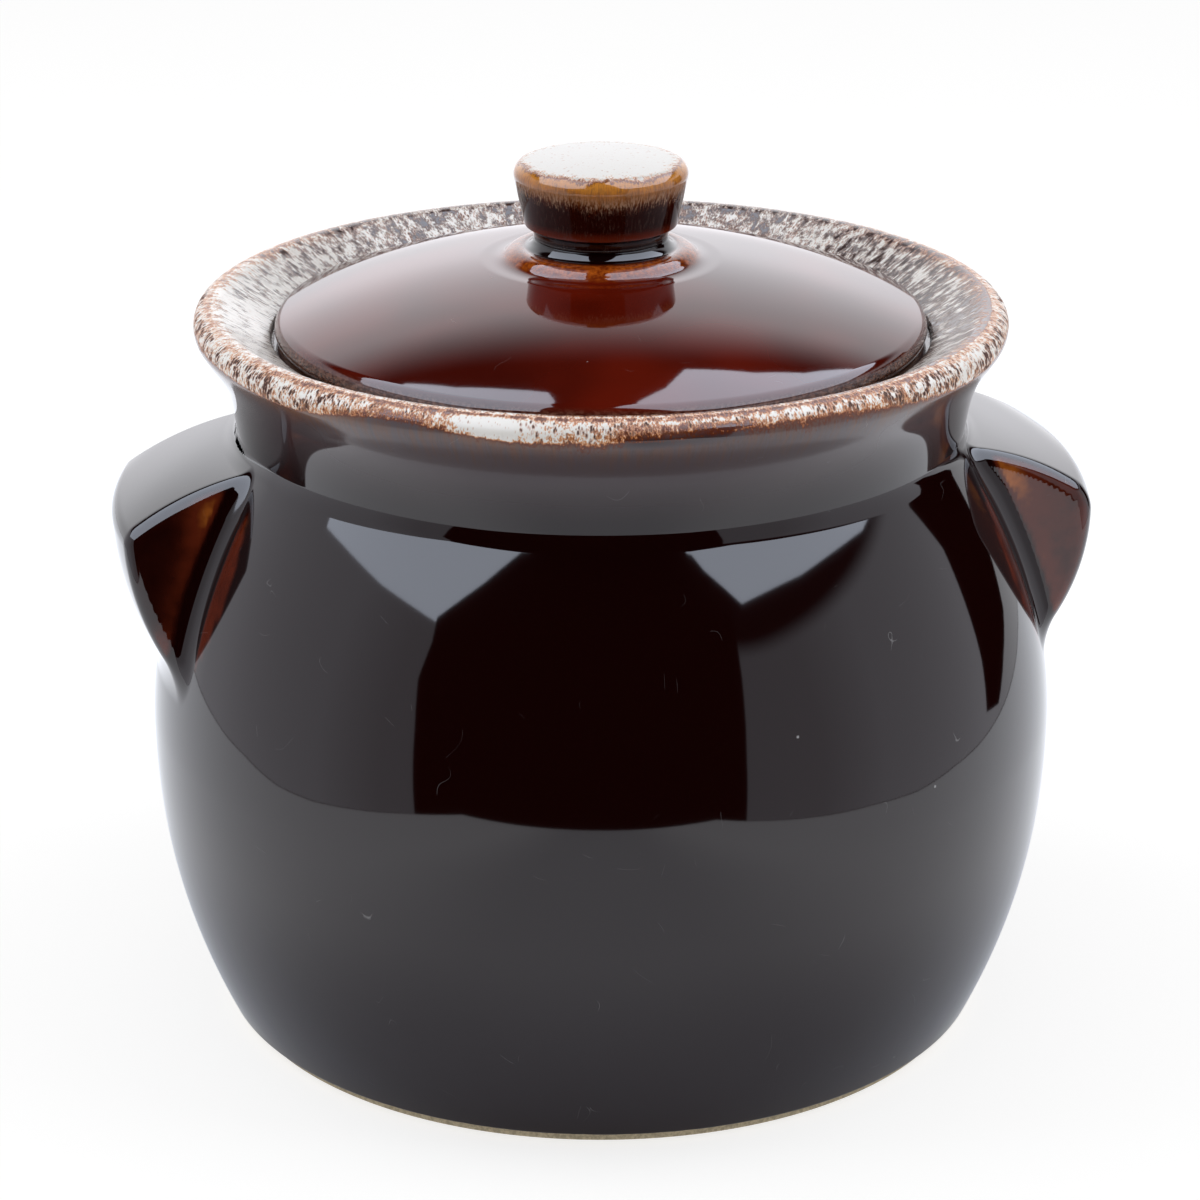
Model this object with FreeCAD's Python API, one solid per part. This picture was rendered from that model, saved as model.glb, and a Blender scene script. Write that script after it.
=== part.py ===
import FreeCAD, Part

# Lidded stoneware bean pot: a round-bellied pot with a flared collar and a rolled lip, two broad
# lug handles on its shoulder, and a domed drop-in lid that carries a button knob.
#
# Millimetres, +Z up, origin at the centre of the foot's resting plane, handles along X.
# A turned piece is a closed profile of (radius, height) points in the XZ plane, swept about Z.
# Radii are chained inwards from the belly and heights upwards from the foot.

import math
import os

# --- pot, outside -----------------------------------------------------------------------------
belly_radius = 90.0
belly_height = 61.0
foot_inset = 12.8           # from the belly in to the glaze's lower edge
lower_fullness = 2.15       # exponent of the wall's curve below the belly
bare_foot_height = 2.4      # unglazed clay under the glaze's lower edge
bare_foot_inset = 2.0       # how far the bare foot steps in from the glazed wall
foot_edge_round = 0.7
foot_ring_width = 6.0
foot_recess = 2.6           # how deep the underside is turned out inside the ring
shoulder_rise = 56.5        # from the belly up to the start of the neck
shoulder_inset = 17.4       # from the belly in to the start of the neck
upper_fullness = 1.85       # exponent of the wall's curve above the belly
neck_rise = 3.7             # from there up to the crease under the collar
neck_inset = 0.95           # from there in to the crease
neck_lean = 0.02            # inward lean of the neck as it meets the crease
collar_lean = 0.12          # outward lean of the collar as it leaves the crease
collar_waist_rise = 10.8
collar_waist_spread = 2.7
lip_rise = 19.7             # from the crease up to the rolled lip's centre
lip_spread = 4.0            # from the crease out to the rolled lip's centre
lip_roll = 3.55
lip_turn = 38.0             # degrees below level where the collar runs into the lip

# --- pot, inside ------------------------------------------------------------------------------
wall = 6.6
base_thickness = 7.0
corner_radius = 16.0
collar_wall = 7.15          # from the crease in to the upright edge round the lid
gallery_depth = 7.4         # from the lip's crest down to the ledge that carries the lid
gallery_step = 1.4          # height of the upright edge round the lid
ledge_width = 6.3
ledge_thickness = 4.6
ledge_edge_round = 1.2

# --- handles ----------------------------------------------------------------------------------
handle_width = 46.0
handle_reach = 6.8          # of the outer corner past the belly
handle_root_drop = 3.2      # from the crease down to the handle's top at the neck
handle_tip_drop = 14.9      # from the crease down to the outer corner
handle_top_bulge = 1.6
handle_outer_bulge = 4.1
handle_length = 34.3        # from the outer corner down to the foot of the wedge
handle_root_depth = 4.7     # how far the wedge is drawn into the wall before it is cut to it
handle_tip_round = 3.0
handle_side_round = 2.6

# --- lid --------------------------------------------------------------------------------------
lid_clearance = 0.9         # between the lid's edge and the upright edge round it
lid_edge_roll = 2.8
lid_crown_rise = 17.35      # from the ledge up to the top of the dome
lid_thickness = 6.0
flange_clearance = 0.8      # between the flange and the ledge's inner edge
flange_width = 4.6
flange_depth = 8.0
flange_edge_round = 1.2
bead_radius = 18.6          # ring of clay round the foot of the knob
bead_roll = 2.6
bead_stand = 0.5            # of the bead's centre above the dome
bead_turn_out = 8.0         # degrees below level where the dome runs into the bead
bead_turn_in = 118.0        # degrees past level where the bead runs into the knob's stem
bead_blend = 5.5            # width of the hollow where the dome turns up into the bead

# --- knob -------------------------------------------------------------------------------------
stem_radius = 13.1
stem_join_rise = 0.3        # of the joint above the bead's crest
stem_height = 2.4
knob_bottom_radius = 14.9
knob_top_radius = 16.9
knob_height = 15.0          # from the joint to the top's edge
knob_under_round = 0.6
knob_edge_round = 2.6
knob_crown = 0.5

# --- worked out from the sizes above ------------------------------------------------------------
foot_radius = belly_radius - foot_inset - bare_foot_inset
shoulder_radius = belly_radius - shoulder_inset
shoulder_height = belly_height + shoulder_rise
crease_radius = shoulder_radius - neck_inset
crease_height = shoulder_height + neck_rise
lip_radius = crease_radius + lip_spread
lip_height = crease_height + lip_rise
floor_height = foot_recess + base_thickness
gallery_radius = crease_radius - collar_wall
gallery_height = lip_height + lip_roll - gallery_depth
mouth_radius = gallery_radius - ledge_width
lid_radius = gallery_radius - lid_clearance
flange_radius = mouth_radius - flange_clearance
curve_spans = 5             # of each half of the wall's curve
corner_steps = 12           # of the search for where the floor's round meets the wall

axis_start = FreeCAD.Vector(0, 0, 0)
up = FreeCAD.Vector(0, 0, 1)
inward = FreeCAD.Vector(-1, 0, 0)


def point(radius, height):
    return FreeCAD.Vector(radius, 0, height)


def line(a, b):
    return Part.LineSegment(a, b).toShape()


def curve(points, start, end):
    """Smooth curve through the points, leaving and arriving in the given directions."""
    spline = Part.BSplineCurve()
    spline.interpolate(Points=points, InitialTangent=start, FinalTangent=end)
    return spline.toShape()


def on_circle(centre, size, degrees):
    """Point of a round in the profile, at an angle from the outward direction."""
    turn = math.radians(degrees)
    return centre.add(point(size * math.cos(turn), size * math.sin(turn)))


def along_circle(degrees):
    """Direction of a round's outline at an angle, going anticlockwise."""
    turn = math.radians(degrees)
    return point(-math.sin(turn), math.cos(turn))


def round_arc(centre, size, start, end):
    middle = (start + end) / 2
    ends = [on_circle(centre, size, degrees) for degrees in (start, middle, end)]
    return Part.Arc(*ends).toShape()


def bulged(a, b, bulge):
    """Arc from a to b that stands out to the left of the line between them."""
    along = b.sub(a).normalize()
    middle = a.add(b).multiply(0.5)
    through = middle.add(point(-along.z, along.x).multiply(bulge))
    return Part.Arc(a, through, b).toShape()


def cap(roll_centre, roll, crown_height):
    """Centre and radius of a domed top that runs smoothly into a round at its edge, and the angle
    at which they meet."""
    rise = crown_height - roll_centre.z
    size = (roll_centre.x ** 2 + rise ** 2 - roll ** 2) / (2 * (rise - roll))
    centre = point(0, crown_height - size)
    across = roll_centre.sub(centre)
    return centre, size, math.degrees(math.atan2(across.z, across.x))


def turned(edges, degrees=360):
    """Solid of a closed profile turned about Z."""
    face = Part.Face(Part.Wire(Part.__sortEdges__(edges)))
    solid = face.revolve(axis_start, up, degrees)
    if solid.Volume < 0:
        solid.reverse()
    return solid


def wall_radius(height):
    """Outer radius of the wall between the glaze's lower edge and the start of the neck."""
    if height <= belly_height:
        share = (belly_height - height) / (belly_height - bare_foot_height)
        return belly_radius - foot_inset * share ** lower_fullness
    share = (height - belly_height) / shoulder_rise
    return belly_radius - shoulder_inset * share ** upper_fullness


def wall_direction(height):
    """Upward direction of the wall's outline, from two points close together."""
    step = 0.05
    return point(wall_radius(height + step) - wall_radius(height - step), 2 * step)


def wall_curve(low, high, inset=0.0):
    """The wall's outline between two heights, set in by a distance, and its two end points."""
    below = [low + (belly_height - low) * i / curve_spans for i in range(curve_spans)]
    above = [belly_height + (high - belly_height) * i / curve_spans for i in range(curve_spans)]
    points = [point(wall_radius(height) - inset, height) for height in below + above + [high]]
    return curve(points, wall_direction(low), wall_direction(high)), points[0], points[-1]


lip_centre = point(lip_radius, lip_height)
gallery_top = point(gallery_radius, gallery_height + gallery_step)


def lip_inner_turn():
    """Angle on the lip where the flare up from the gallery runs into it smoothly."""
    reach = gallery_top.sub(lip_centre)
    toward = math.degrees(math.atan2(reach.z, reach.x)) % 360
    return toward - math.degrees(math.acos(lip_roll / reach.Length))


def corner_round():
    """Centre of the round between the floor and the inner wall, and the angle where they meet."""
    low = floor_height + corner_radius
    for _ in range(corner_steps):
        across = wall_direction(low).normalize()
        low = floor_height + corner_radius * (1 - across.x)
    centre = point(wall_radius(low) - wall, low).add(point(-across.z, across.x) * corner_radius)
    return centre, math.degrees(math.atan2(-across.x, across.z))


def outside():
    """Edges of the pot's outside, from where it rests to the lip's inner side, and both ends."""
    edge_centre = point(foot_radius - foot_edge_round, foot_edge_round)
    foot_side = on_circle(edge_centre, foot_edge_round, 0)
    wall_edge, glaze_edge, neck_start = wall_curve(bare_foot_height, shoulder_height)
    bare_top = point(foot_radius, bare_foot_height - bare_foot_inset * 0.4)
    crease = point(crease_radius, crease_height)
    waist = crease.add(point(collar_waist_spread, collar_waist_rise))
    under_lip = on_circle(lip_centre, lip_roll, -lip_turn)
    edges = [
        round_arc(edge_centre, foot_edge_round, -90, 0),
        line(foot_side, bare_top),
        line(bare_top, glaze_edge),
        wall_edge,
        curve([neck_start, crease], wall_direction(shoulder_height), point(-neck_lean, 1)),
        curve([crease, waist, under_lip], point(collar_lean, 1), along_circle(-lip_turn)),
        round_arc(lip_centre, lip_roll, -lip_turn, lip_inner_turn()),
    ]
    ground = on_circle(edge_centre, foot_edge_round, -90)
    return edges, ground, on_circle(lip_centre, lip_roll, lip_inner_turn())


def filled_pot():
    """The pot's outer form with nothing hollow, which the handles are cut to."""
    edges, ground, lip_end = outside()
    top = point(0, lip_end.z)
    return turned(edges + [line(lip_end, top), line(top, axis_start), line(axis_start, ground)])


def pot_body():
    edges, ground, lip_end = outside()
    ledge_centre = point(mouth_radius + ledge_edge_round, gallery_height - ledge_edge_round)
    gallery_foot = point(gallery_radius, gallery_height)
    mouth_low = point(mouth_radius, gallery_height - ledge_thickness)
    corner_centre, corner_meet = corner_round()
    corner_top = on_circle(corner_centre, corner_radius, corner_meet)
    inner_wall, _, inner_neck = wall_curve(corner_top.z, shoulder_height, wall)
    floor_edge = on_circle(corner_centre, corner_radius, -90)
    ring_inner = point(foot_radius - foot_ring_width, 0)
    recess_edge = ring_inner.add(point(-foot_recess, foot_recess))
    edges += [
        line(lip_end, gallery_top),
        line(gallery_top, gallery_foot),
        line(gallery_foot, on_circle(ledge_centre, ledge_edge_round, 90)),
        round_arc(ledge_centre, ledge_edge_round, 90, 180),
        line(on_circle(ledge_centre, ledge_edge_round, 180), mouth_low),
        curve([inner_neck, mouth_low], wall_direction(shoulder_height), point(-neck_lean, 1)),
        inner_wall,
        round_arc(corner_centre, corner_radius, -90, corner_meet),
        line(floor_edge, point(0, floor_height)),
        line(point(0, floor_height), point(0, foot_recess)),
        line(point(0, foot_recess), recess_edge),
        line(recess_edge, ring_inner),
        line(ring_inner, ground),
    ]
    return turned(edges)


def handle_blank():
    """The right handle before it is cut to the pot: a turned wedge between two flat sides."""
    half = handle_width / 2
    deep = crease_radius - wall
    root = point(deep, crease_height - handle_root_drop)
    neck = point(crease_radius, root.z)
    tip = point(belly_radius + handle_reach, crease_height - handle_tip_drop)
    foot_top = tip.z - handle_length
    foot = point(wall_radius(foot_top) - handle_root_depth, foot_top)
    edges = [
        line(root, neck),
        bulged(neck, tip, handle_top_bulge),
        bulged(tip, foot, handle_outer_bulge),
        line(foot, point(deep, foot.z)),
        line(point(deep, foot.z), root),
    ]
    ring = turned(edges, 180)
    ring.rotate(axis_start, up, -90)
    slab = Part.makeBox(tip.x, handle_width, crease_height, FreeCAD.Vector(0, -half, 0))
    wedge = ring.common(slab).Solids[0]

    def is_tip(edge):
        ends = [vertex.Point for vertex in edge.Vertexes]
        return all(abs(end.z - tip.z) < 0.01 and math.hypot(end.x, end.y) > neck.x for end in ends)

    def is_side(edge):
        sides = [abs(vertex.Y) for vertex in edge.Vertexes]
        far = max(math.hypot(vertex.X, vertex.Y) for vertex in edge.Vertexes)
        return min(sides) > half - 0.01 and edge.BoundBox.YLength < 0.1 and far > neck.x + wall

    wedge = wedge.makeFillet(handle_tip_round, [edge for edge in wedge.Edges if is_tip(edge)])
    return wedge.makeFillet(handle_side_round, [edge for edge in wedge.Edges if is_side(edge)])


def right_handle():
    """The handle on the side of +X, which seats face to face on the pot's outside."""
    lug = handle_blank().cut(filled_pot())
    return max(lug.Solids, key=lambda piece: piece.Volume)


lid_roll_centre = point(lid_radius - lid_edge_roll, gallery_height + lid_edge_roll)
dome_centre, dome_radius, dome_meet = cap(
    lid_roll_centre, lid_edge_roll, gallery_height + lid_crown_rise)


def on_dome(radius, inset=0.0):
    """Point of the lid's dome at a distance from its axis, set in by a thickness."""
    height = math.sqrt((dome_radius - inset) ** 2 - radius ** 2)
    return point(radius, dome_centre.z + height)


bead_centre = on_dome(bead_radius - bead_roll).add(point(0, bead_stand))
join_height = bead_centre.z + bead_roll + stem_join_rise


def lid():
    hollow = on_dome(bead_radius + bead_blend)
    hollow_turn = math.degrees(math.atan2(hollow.z - dome_centre.z, hollow.x))
    flange_foot = gallery_height - flange_depth
    outer_round = point(flange_radius - flange_edge_round, flange_foot + flange_edge_round)
    inner_round = outer_round.add(point(2 * flange_edge_round - flange_width, 0))
    under_edge = on_dome(flange_radius - flange_width, lid_thickness)
    under_crown = on_dome(0, lid_thickness)
    flange_top = point(flange_radius, gallery_height)
    stem_foot = point(stem_radius, join_height)
    edges = [
        Part.Arc(under_crown, on_dome(under_edge.x / 2, lid_thickness), under_edge).toShape(),
        line(under_edge, on_circle(inner_round, flange_edge_round, 180)),
        round_arc(inner_round, flange_edge_round, 180, 270),
        line(on_circle(inner_round, flange_edge_round, 270),
             on_circle(outer_round, flange_edge_round, 270)),
        round_arc(outer_round, flange_edge_round, 270, 360),
        line(on_circle(outer_round, flange_edge_round, 360), flange_top),
        line(flange_top, on_circle(lid_roll_centre, lid_edge_roll, -90)),
        round_arc(lid_roll_centre, lid_edge_roll, -90, dome_meet),
        round_arc(dome_centre, dome_radius, dome_meet, hollow_turn),
        curve([hollow, on_circle(bead_centre, bead_roll, -bead_turn_out)],
              along_circle(hollow_turn), along_circle(-bead_turn_out)),
        round_arc(bead_centre, bead_roll, -bead_turn_out, bead_turn_in),
        curve([on_circle(bead_centre, bead_roll, bead_turn_in), stem_foot],
              along_circle(bead_turn_in), up),
        line(stem_foot, point(0, join_height)),
        line(point(0, join_height), under_crown),
    ]
    return turned(edges)


def knob():
    axis_foot = point(0, join_height)
    stem_foot = point(stem_radius, join_height)
    top = join_height + knob_height
    under = point(knob_bottom_radius - knob_under_round,
                  join_height + stem_height + knob_under_round)
    edge = point(knob_top_radius - knob_edge_round, top - knob_edge_round)
    side = edge.sub(under)
    lean = math.degrees(math.atan2(side.z, side.x)
                        - math.acos((knob_under_round - knob_edge_round) / side.Length))
    crown = point(0, top + knob_crown)
    crown_centre, crown_size, crown_meet = cap(edge, knob_edge_round, crown.z)
    edges = [
        line(axis_foot, stem_foot),
        curve([stem_foot, on_circle(under, knob_under_round, -90)], up, along_circle(-90)),
        round_arc(under, knob_under_round, -90, lean),
        line(on_circle(under, knob_under_round, lean), on_circle(edge, knob_edge_round, lean)),
        round_arc(edge, knob_edge_round, lean, crown_meet),
        round_arc(crown_centre, crown_size, crown_meet, 90),
        line(crown, axis_foot),
    ]
    return turned(edges)


def save(name, shape):
    if not shape.isValid() or len(shape.Solids) != 1:
        raise ValueError(f"{name}: valid {shape.isValid()}, solids {len(shape.Solids)}")
    shape.Solids[0].exportStep(f"parts/{name}.step")
    print(f"{name}: {shape.Volume / 1000:.1f} cm3")


def main():
    os.makedirs("parts", exist_ok=True)
    handle = right_handle()
    save("pot_body", pot_body())
    save("right_handle", handle)
    save("left_handle", handle.mirror(axis_start, inward))
    save("lid", lid())
    save("knob", knob())


main()
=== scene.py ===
import math

import bpy
import numpy as np
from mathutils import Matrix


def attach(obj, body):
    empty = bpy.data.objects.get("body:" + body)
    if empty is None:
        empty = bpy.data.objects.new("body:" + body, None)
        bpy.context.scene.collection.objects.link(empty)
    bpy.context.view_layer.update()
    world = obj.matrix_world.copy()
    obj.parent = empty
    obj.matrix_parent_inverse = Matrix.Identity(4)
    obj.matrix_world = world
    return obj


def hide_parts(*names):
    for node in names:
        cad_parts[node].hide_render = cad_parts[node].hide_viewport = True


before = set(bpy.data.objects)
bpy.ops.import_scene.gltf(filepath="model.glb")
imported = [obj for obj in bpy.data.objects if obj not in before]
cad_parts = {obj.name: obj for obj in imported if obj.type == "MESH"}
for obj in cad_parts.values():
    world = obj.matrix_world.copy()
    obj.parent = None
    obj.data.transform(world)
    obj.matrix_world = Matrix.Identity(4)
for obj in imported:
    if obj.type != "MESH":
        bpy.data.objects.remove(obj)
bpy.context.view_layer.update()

# A glazed stoneware bean pot: thick dark glaze that breaks to pale froth on the rolled rim and on
# the knob. Lengths in the dictionaries are millimetres and angles degrees, unless a note says
# otherwise.

mm = 0.001
frontTurn = -97.0   # where the front of the pot faces, about the upright axis


# An outline is made of runs. A run is a list of (radius, height, direction outward, direction
# upward). The clay is on its right, so the surface faces left of the way it is followed.

def onCircle(centre, size, degrees):
    turn = math.radians(degrees)
    return (centre[0] + size * math.cos(turn), centre[1] + size * math.sin(turn))


def clockwise(degrees):
    # the way a round is followed at this angle
    turn = math.radians(degrees)
    return (math.sin(turn), -math.cos(turn))


def arcRun(centre, size, start, end, count=12):
    way = 1 if end > start else -1
    run = []
    for k in range(count + 1):
        turn = math.radians(start + (end - start) * k / count)
        run.append((centre[0] + size * math.cos(turn), centre[1] + size * math.sin(turn),
                    -way * math.sin(turn), way * math.cos(turn)))
    return run


def lineRun(a, b, count=1):
    length = math.hypot(b[0] - a[0], b[1] - a[1])
    way = ((b[0] - a[0]) / length, (b[1] - a[1]) / length)
    return [(a[0] + (b[0] - a[0]) * k / count, a[1] + (b[1] - a[1]) * k / count, *way)
            for k in range(count + 1)]


def curveRun(points, startWay, endWay, count=14):
    # smooth curve through the points with unit speed at both ends, knots a chord apart
    points = np.array(points, float)
    gaps = np.linalg.norm(np.diff(points, axis=0), axis=1)
    speeds = np.zeros_like(points)
    speeds[0] = np.array(startWay) / np.linalg.norm(startWay)
    speeds[-1] = np.array(endWay) / np.linalg.norm(endWay)
    inner = len(points) - 2
    if inner:
        grid, right = np.zeros((inner, inner)), np.zeros((inner, 2))
        for k in range(inner):
            before, after = gaps[k], gaps[k + 1]
            grid[k, k] = 2 / before + 2 / after
            right[k] = 3 * ((points[k + 1] - points[k]) / before ** 2
                            + (points[k + 2] - points[k + 1]) / after ** 2)
            for place, gap in ((k - 1, before), (k + 1, after)):
                if 0 <= place < inner:
                    grid[k, place] = 1 / gap
                else:
                    right[k] -= speeds[0 if place < 0 else -1] / gap
        speeds[1:-1] = np.linalg.solve(grid, right)
    run = []
    for k, gap in enumerate(gaps):
        a, b, away, toward = points[k], points[k + 1], speeds[k], speeds[k + 1]
        for t in np.linspace(0, 1, count + 1)[(1 if k else 0):]:
            spot = ((2 * t ** 3 - 3 * t ** 2 + 1) * a + (3 * t ** 2 - 2 * t ** 3) * b
                    + gap * ((t ** 3 - 2 * t ** 2 + t) * away + (t ** 3 - t ** 2) * toward))
            way = ((6 * t ** 2 - 6 * t) * (a - b) / gap
                   + (3 * t ** 2 - 4 * t + 1) * away + (3 * t ** 2 - 2 * t) * toward)
            run.append((*spot, *(way / np.linalg.norm(way))))
    return run


def joinRuns(*runs, corner=0.45):
    # one outline from several runs; where two meet at an angle the corner is softened
    joined = [np.array(s, float) for s in runs[0]]
    for run in runs[1:]:
        run = [np.array(s, float) for s in run]
        meet, leave = joined[-1], run[0]
        if leave[2:] @ meet[2:] > 0.985:   # they go on almost straight
            joined += run[1:]
            continue
        room = 0.45 * np.linalg.norm(run[-1][:2] - run[0][:2])   # a little less than half of a run
        size = min(corner, room)
        a, b = meet[:2] - size * meet[2:], meet[:2] + size * leave[2:]
        while len(joined) > 1 and np.linalg.norm(joined[-1][:2] - meet[:2]) < size:
            joined.pop()
        while len(run) > 1 and np.linalg.norm(run[0][:2] - meet[:2]) < size:
            run.pop(0)
        for t in np.linspace(0, 1, 7):
            spot = (1 - t) ** 2 * a + 2 * t * (1 - t) * meet[:2] + t * t * b
            way = (1 - t) * (meet[:2] - a) + t * (b - meet[:2])
            joined.append(np.array([*spot, *(way / np.linalg.norm(way))]))
        joined += run
    return np.array(joined)


def towardsRound(centre, size, outside):
    # angle on a round where a line from a point outside it just touches, on the far side clockwise
    reach = (outside[0] - centre[0], outside[1] - centre[1])
    toward = math.degrees(math.atan2(reach[1], reach[0])) % 360
    return toward - math.degrees(math.acos(size / math.hypot(*reach)))


def step(value, low, high):
    share = np.clip((value - low) / (high - low), 0, 1)
    return share * share * (3 - 2 * share)


def hump(value, middle, width, power=2):
    return np.exp(-((value - middle) / width) ** power)


def turnedFrom(angles, middle=0.0):
    # degrees to the right of a place that is named by its own degrees right of the front
    return (np.degrees(angles) - frontTurn - middle + 180) % 360 - 180


def bumps(angles, table, base=0.0):
    # sum of smooth swellings round the axis: (angle right of the front, half width, height)
    total = base + 0 * angles
    for middle, width, height in table:
        total = total + height * hump(turnedFrom(angles, middle), 0, width)
    return total


def waves(angles, table):
    # sum of whole waves round the axis: (number of waves, height, phase)
    total = 0 * angles
    for count, height, phase in table:
        total = total + height * np.sin(count * angles + phase)
    return total


def followed(outline, crest=0):
    # distance along the outline, counted from one of its samples
    steps = np.linalg.norm(np.diff(outline[:, :2], axis=0), axis=1)
    along = np.concatenate([[0], np.cumsum(steps)])
    return along - along[crest]


def finishMesh(name, points, faces, normals, marks, material):
    mesh = bpy.data.meshes.new(name)
    mesh.from_pydata(np.asarray(points) * mm, [], faces)
    mesh.shade_smooth()
    for label, values in marks.items():
        kind, field = ("FLOAT", "value") if np.ndim(values) == 1 else ("FLOAT_VECTOR", "vector")
        layer = mesh.attributes.new(label, kind, "POINT")
        layer.data.foreach_set(field, np.asarray(values, np.float32).ravel())
    mesh.materials.append(material)
    mesh.normals_split_custom_set_from_vertices([tuple(n) for n in normals])
    piece = bpy.data.objects.new(name, mesh)
    bpy.context.scene.collection.objects.link(piece)
    print(f"{name}: {len(mesh.vertices)} points, {len(mesh.polygons)} faces")
    return piece


def turnedPiece(name, outline, segments, material, ringSize, marks, crest=0, relief=None):
    # relief and each mark are functions of the distance along the outline and the angle around it
    run = followed(outline, crest)[:, None]
    angles = (np.arange(segments) * 2 * math.pi / segments)[None, :]
    r, z, tr, tz = (outline[:, k][:, None] for k in range(4))
    out = np.stack([np.cos(angles), np.sin(angles), 0 * angles], -1)
    side = np.stack([-np.sin(angles), np.cos(angles), 0 * angles], -1)
    top = np.array([0.0, 0.0, 1.0])
    way = tr[..., None] * out + tz[..., None] * top
    normal = -tz[..., None] * out + tr[..., None] * top
    points = r[..., None] * out + z[..., None] * top
    if relief:
        lift = relief(run, angles) * np.ones((len(run), segments))
        points = points + lift[..., None] * normal
        upRun = np.gradient(lift, run[:, 0], axis=0)
        ringStep = 4 * math.pi / segments
        upRing = (np.roll(lift, -1, 1) - np.roll(lift, 1, 1)) / ringStep / np.maximum(r, 1)
        normal = normal - upRun[..., None] * way - upRing[..., None] * side
        normal = normal / np.linalg.norm(normal, axis=-1, keepdims=True)
    # the glaze pattern is laid out on a ring of one size, as high as the run is long
    ring = np.stack([ringSize * np.cos(angles) + 0 * run, ringSize * np.sin(angles) + 0 * run,
                     run + 0 * angles], -1)
    values = {"glazePlace": ring}
    for label, rule in marks.items():
        values[label] = rule(run, angles) * np.ones((len(run), segments))
    poles = [outline[0, 0] < 1e-6, outline[-1, 0] < 1e-6]
    low, high = int(poles[0]), len(outline) - int(poles[1])

    def gathered(grid):
        # one entry for each point: the rings, then the poles
        parts = [grid[low:high].reshape(-1, *grid.shape[2:])]
        if poles[0]:
            parts.append(grid[0, :1])
        if poles[1]:
            parts.append(grid[-1, :1])
        return np.concatenate(parts)

    count = high - low
    faces = []
    for k in range(count - 1):
        for j in range(segments):
            turn = (j + 1) % segments
            faces.append((k * segments + j, (k + 1) * segments + j,
                          (k + 1) * segments + turn, k * segments + turn))
    pole = count * segments
    if poles[0]:
        faces += [(pole, j, (j + 1) % segments) for j in range(segments)]
        pole += 1
    last = (count - 1) * segments
    if poles[1]:
        faces += [(pole, last + (j + 1) % segments, last + j) for j in range(segments)]
    return finishMesh(name, gathered(points), faces, gathered(normal),
                      {label: gathered(grid) for label, grid in values.items()}, material)


# Placing shader nodes: a value may be a number, a colour or another node's socket.

def feed(tree, socket, value):
    if isinstance(value, bpy.types.NodeSocket):
        tree.links.new(value, socket)
    elif value is not None:
        socket.default_value = value


def put(tree, kind, inputs=None, **settings):
    node = tree.nodes.new(kind)
    for key, value in settings.items():
        setattr(node, key, value)
    for key, value in (inputs or {}).items():
        feed(tree, node.inputs[key], value)
    return node


def calc(tree, operation, *values, clamp=False):
    inputs = dict(enumerate(values))
    return put(tree, "ShaderNodeMath", inputs, operation=operation, use_clamp=clamp).outputs[0]


def add(tree, a, b):
    return calc(tree, "ADD", a, b)


def less(tree, a, b):
    return calc(tree, "SUBTRACT", a, b)


def times(tree, a, b, clamp=False):
    return calc(tree, "MULTIPLY", a, b, clamp=clamp)


def swung(tree, value, size):
    # a pattern about 0.5 made to swing about 0
    return times(tree, less(tree, value, 0.5), size)


def between(tree, share, a, b):
    return add(tree, times(tree, a, less(tree, 1.0, share)), times(tree, b, share))


def ease(tree, value, low, high, toLow=0.0, toHigh=1.0):
    inputs = {0: value, 1: low, 2: high, 3: toLow, 4: toHigh}
    return put(tree, "ShaderNodeMapRange", inputs, interpolation_type="SMOOTHSTEP").outputs[0]


def vectorCalc(tree, operation, output, inputs):
    return put(tree, "ShaderNodeVectorMath", inputs, operation=operation).outputs[output]


def scaled(tree, vector, size):
    return vectorCalc(tree, "SCALE", "Vector", {0: vector, "Scale": size})


def stretched(tree, vector, across, along):
    # a pattern on the ring: a small number along the run draws it out
    return vectorCalc(tree, "MULTIPLY", "Vector", {0: vector, 1: (across, across, along)})


def noise(tree, vector, scale, detail=2.0, roughness=0.5, distortion=0.0):
    inputs = {"Vector": vector, "Scale": scale, "Detail": detail, "Roughness": roughness,
              "Distortion": distortion}
    return put(tree, "ShaderNodeTexNoise", inputs).outputs[0]


def cells(tree, vector, scale):
    return put(tree, "ShaderNodeTexVoronoi", {"Vector": vector, "Scale": scale}).outputs[0]


def mixed(tree, share, a, b):
    # from colour a to colour b; numbers come in through sockets
    return put(tree, "ShaderNodeMix", {0: share, 6: a, 7: b}, data_type="RGBA").outputs[2]


def shades(tree, value, stops):
    node = put(tree, "ShaderNodeValToRGB", {0: value})
    elements = node.color_ramp.elements
    while len(elements) < len(stops):
        elements.new(0.5)
    for element, (place, colour) in zip(elements, stops):
        element.position = place
        element.color = (*colour, 1)
    return node.outputs[0]


def meshMark(tree, name, output="Fac"):
    return put(tree, "ShaderNodeAttribute", attribute_name=name).outputs[output]


def newGroup(name, inputs, outputs):
    tree = bpy.data.node_groups.new(name, "ShaderNodeTree")
    for socket, kind, value in inputs:
        made = tree.interface.new_socket(socket, in_out="INPUT", socket_type=f"NodeSocket{kind}")
        if value is not None:
            made.default_value = value
    for socket, kind in outputs:
        tree.interface.new_socket(socket, in_out="OUTPUT", socket_type=f"NodeSocket{kind}")
    return tree, tree.nodes.new("NodeGroupInput").outputs, tree.nodes.new("NodeGroupOutput").inputs


def placeGroup(tree, group, inputs):
    node = tree.nodes.new("ShaderNodeGroup")
    node.node_tree = group
    for key, value in inputs.items():
        feed(tree, node.inputs[key], value)
    return node.outputs


def emptyMaterial(name):
    material = bpy.data.materials.new(name)
    material.use_nodes = True
    material.node_tree.nodes.clear()
    return material, material.node_tree


def showSurface(tree, shader, kind="ShaderNodeOutputMaterial"):
    tree.links.new(shader.outputs[0], tree.nodes.new(kind).inputs["Surface"])


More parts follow.
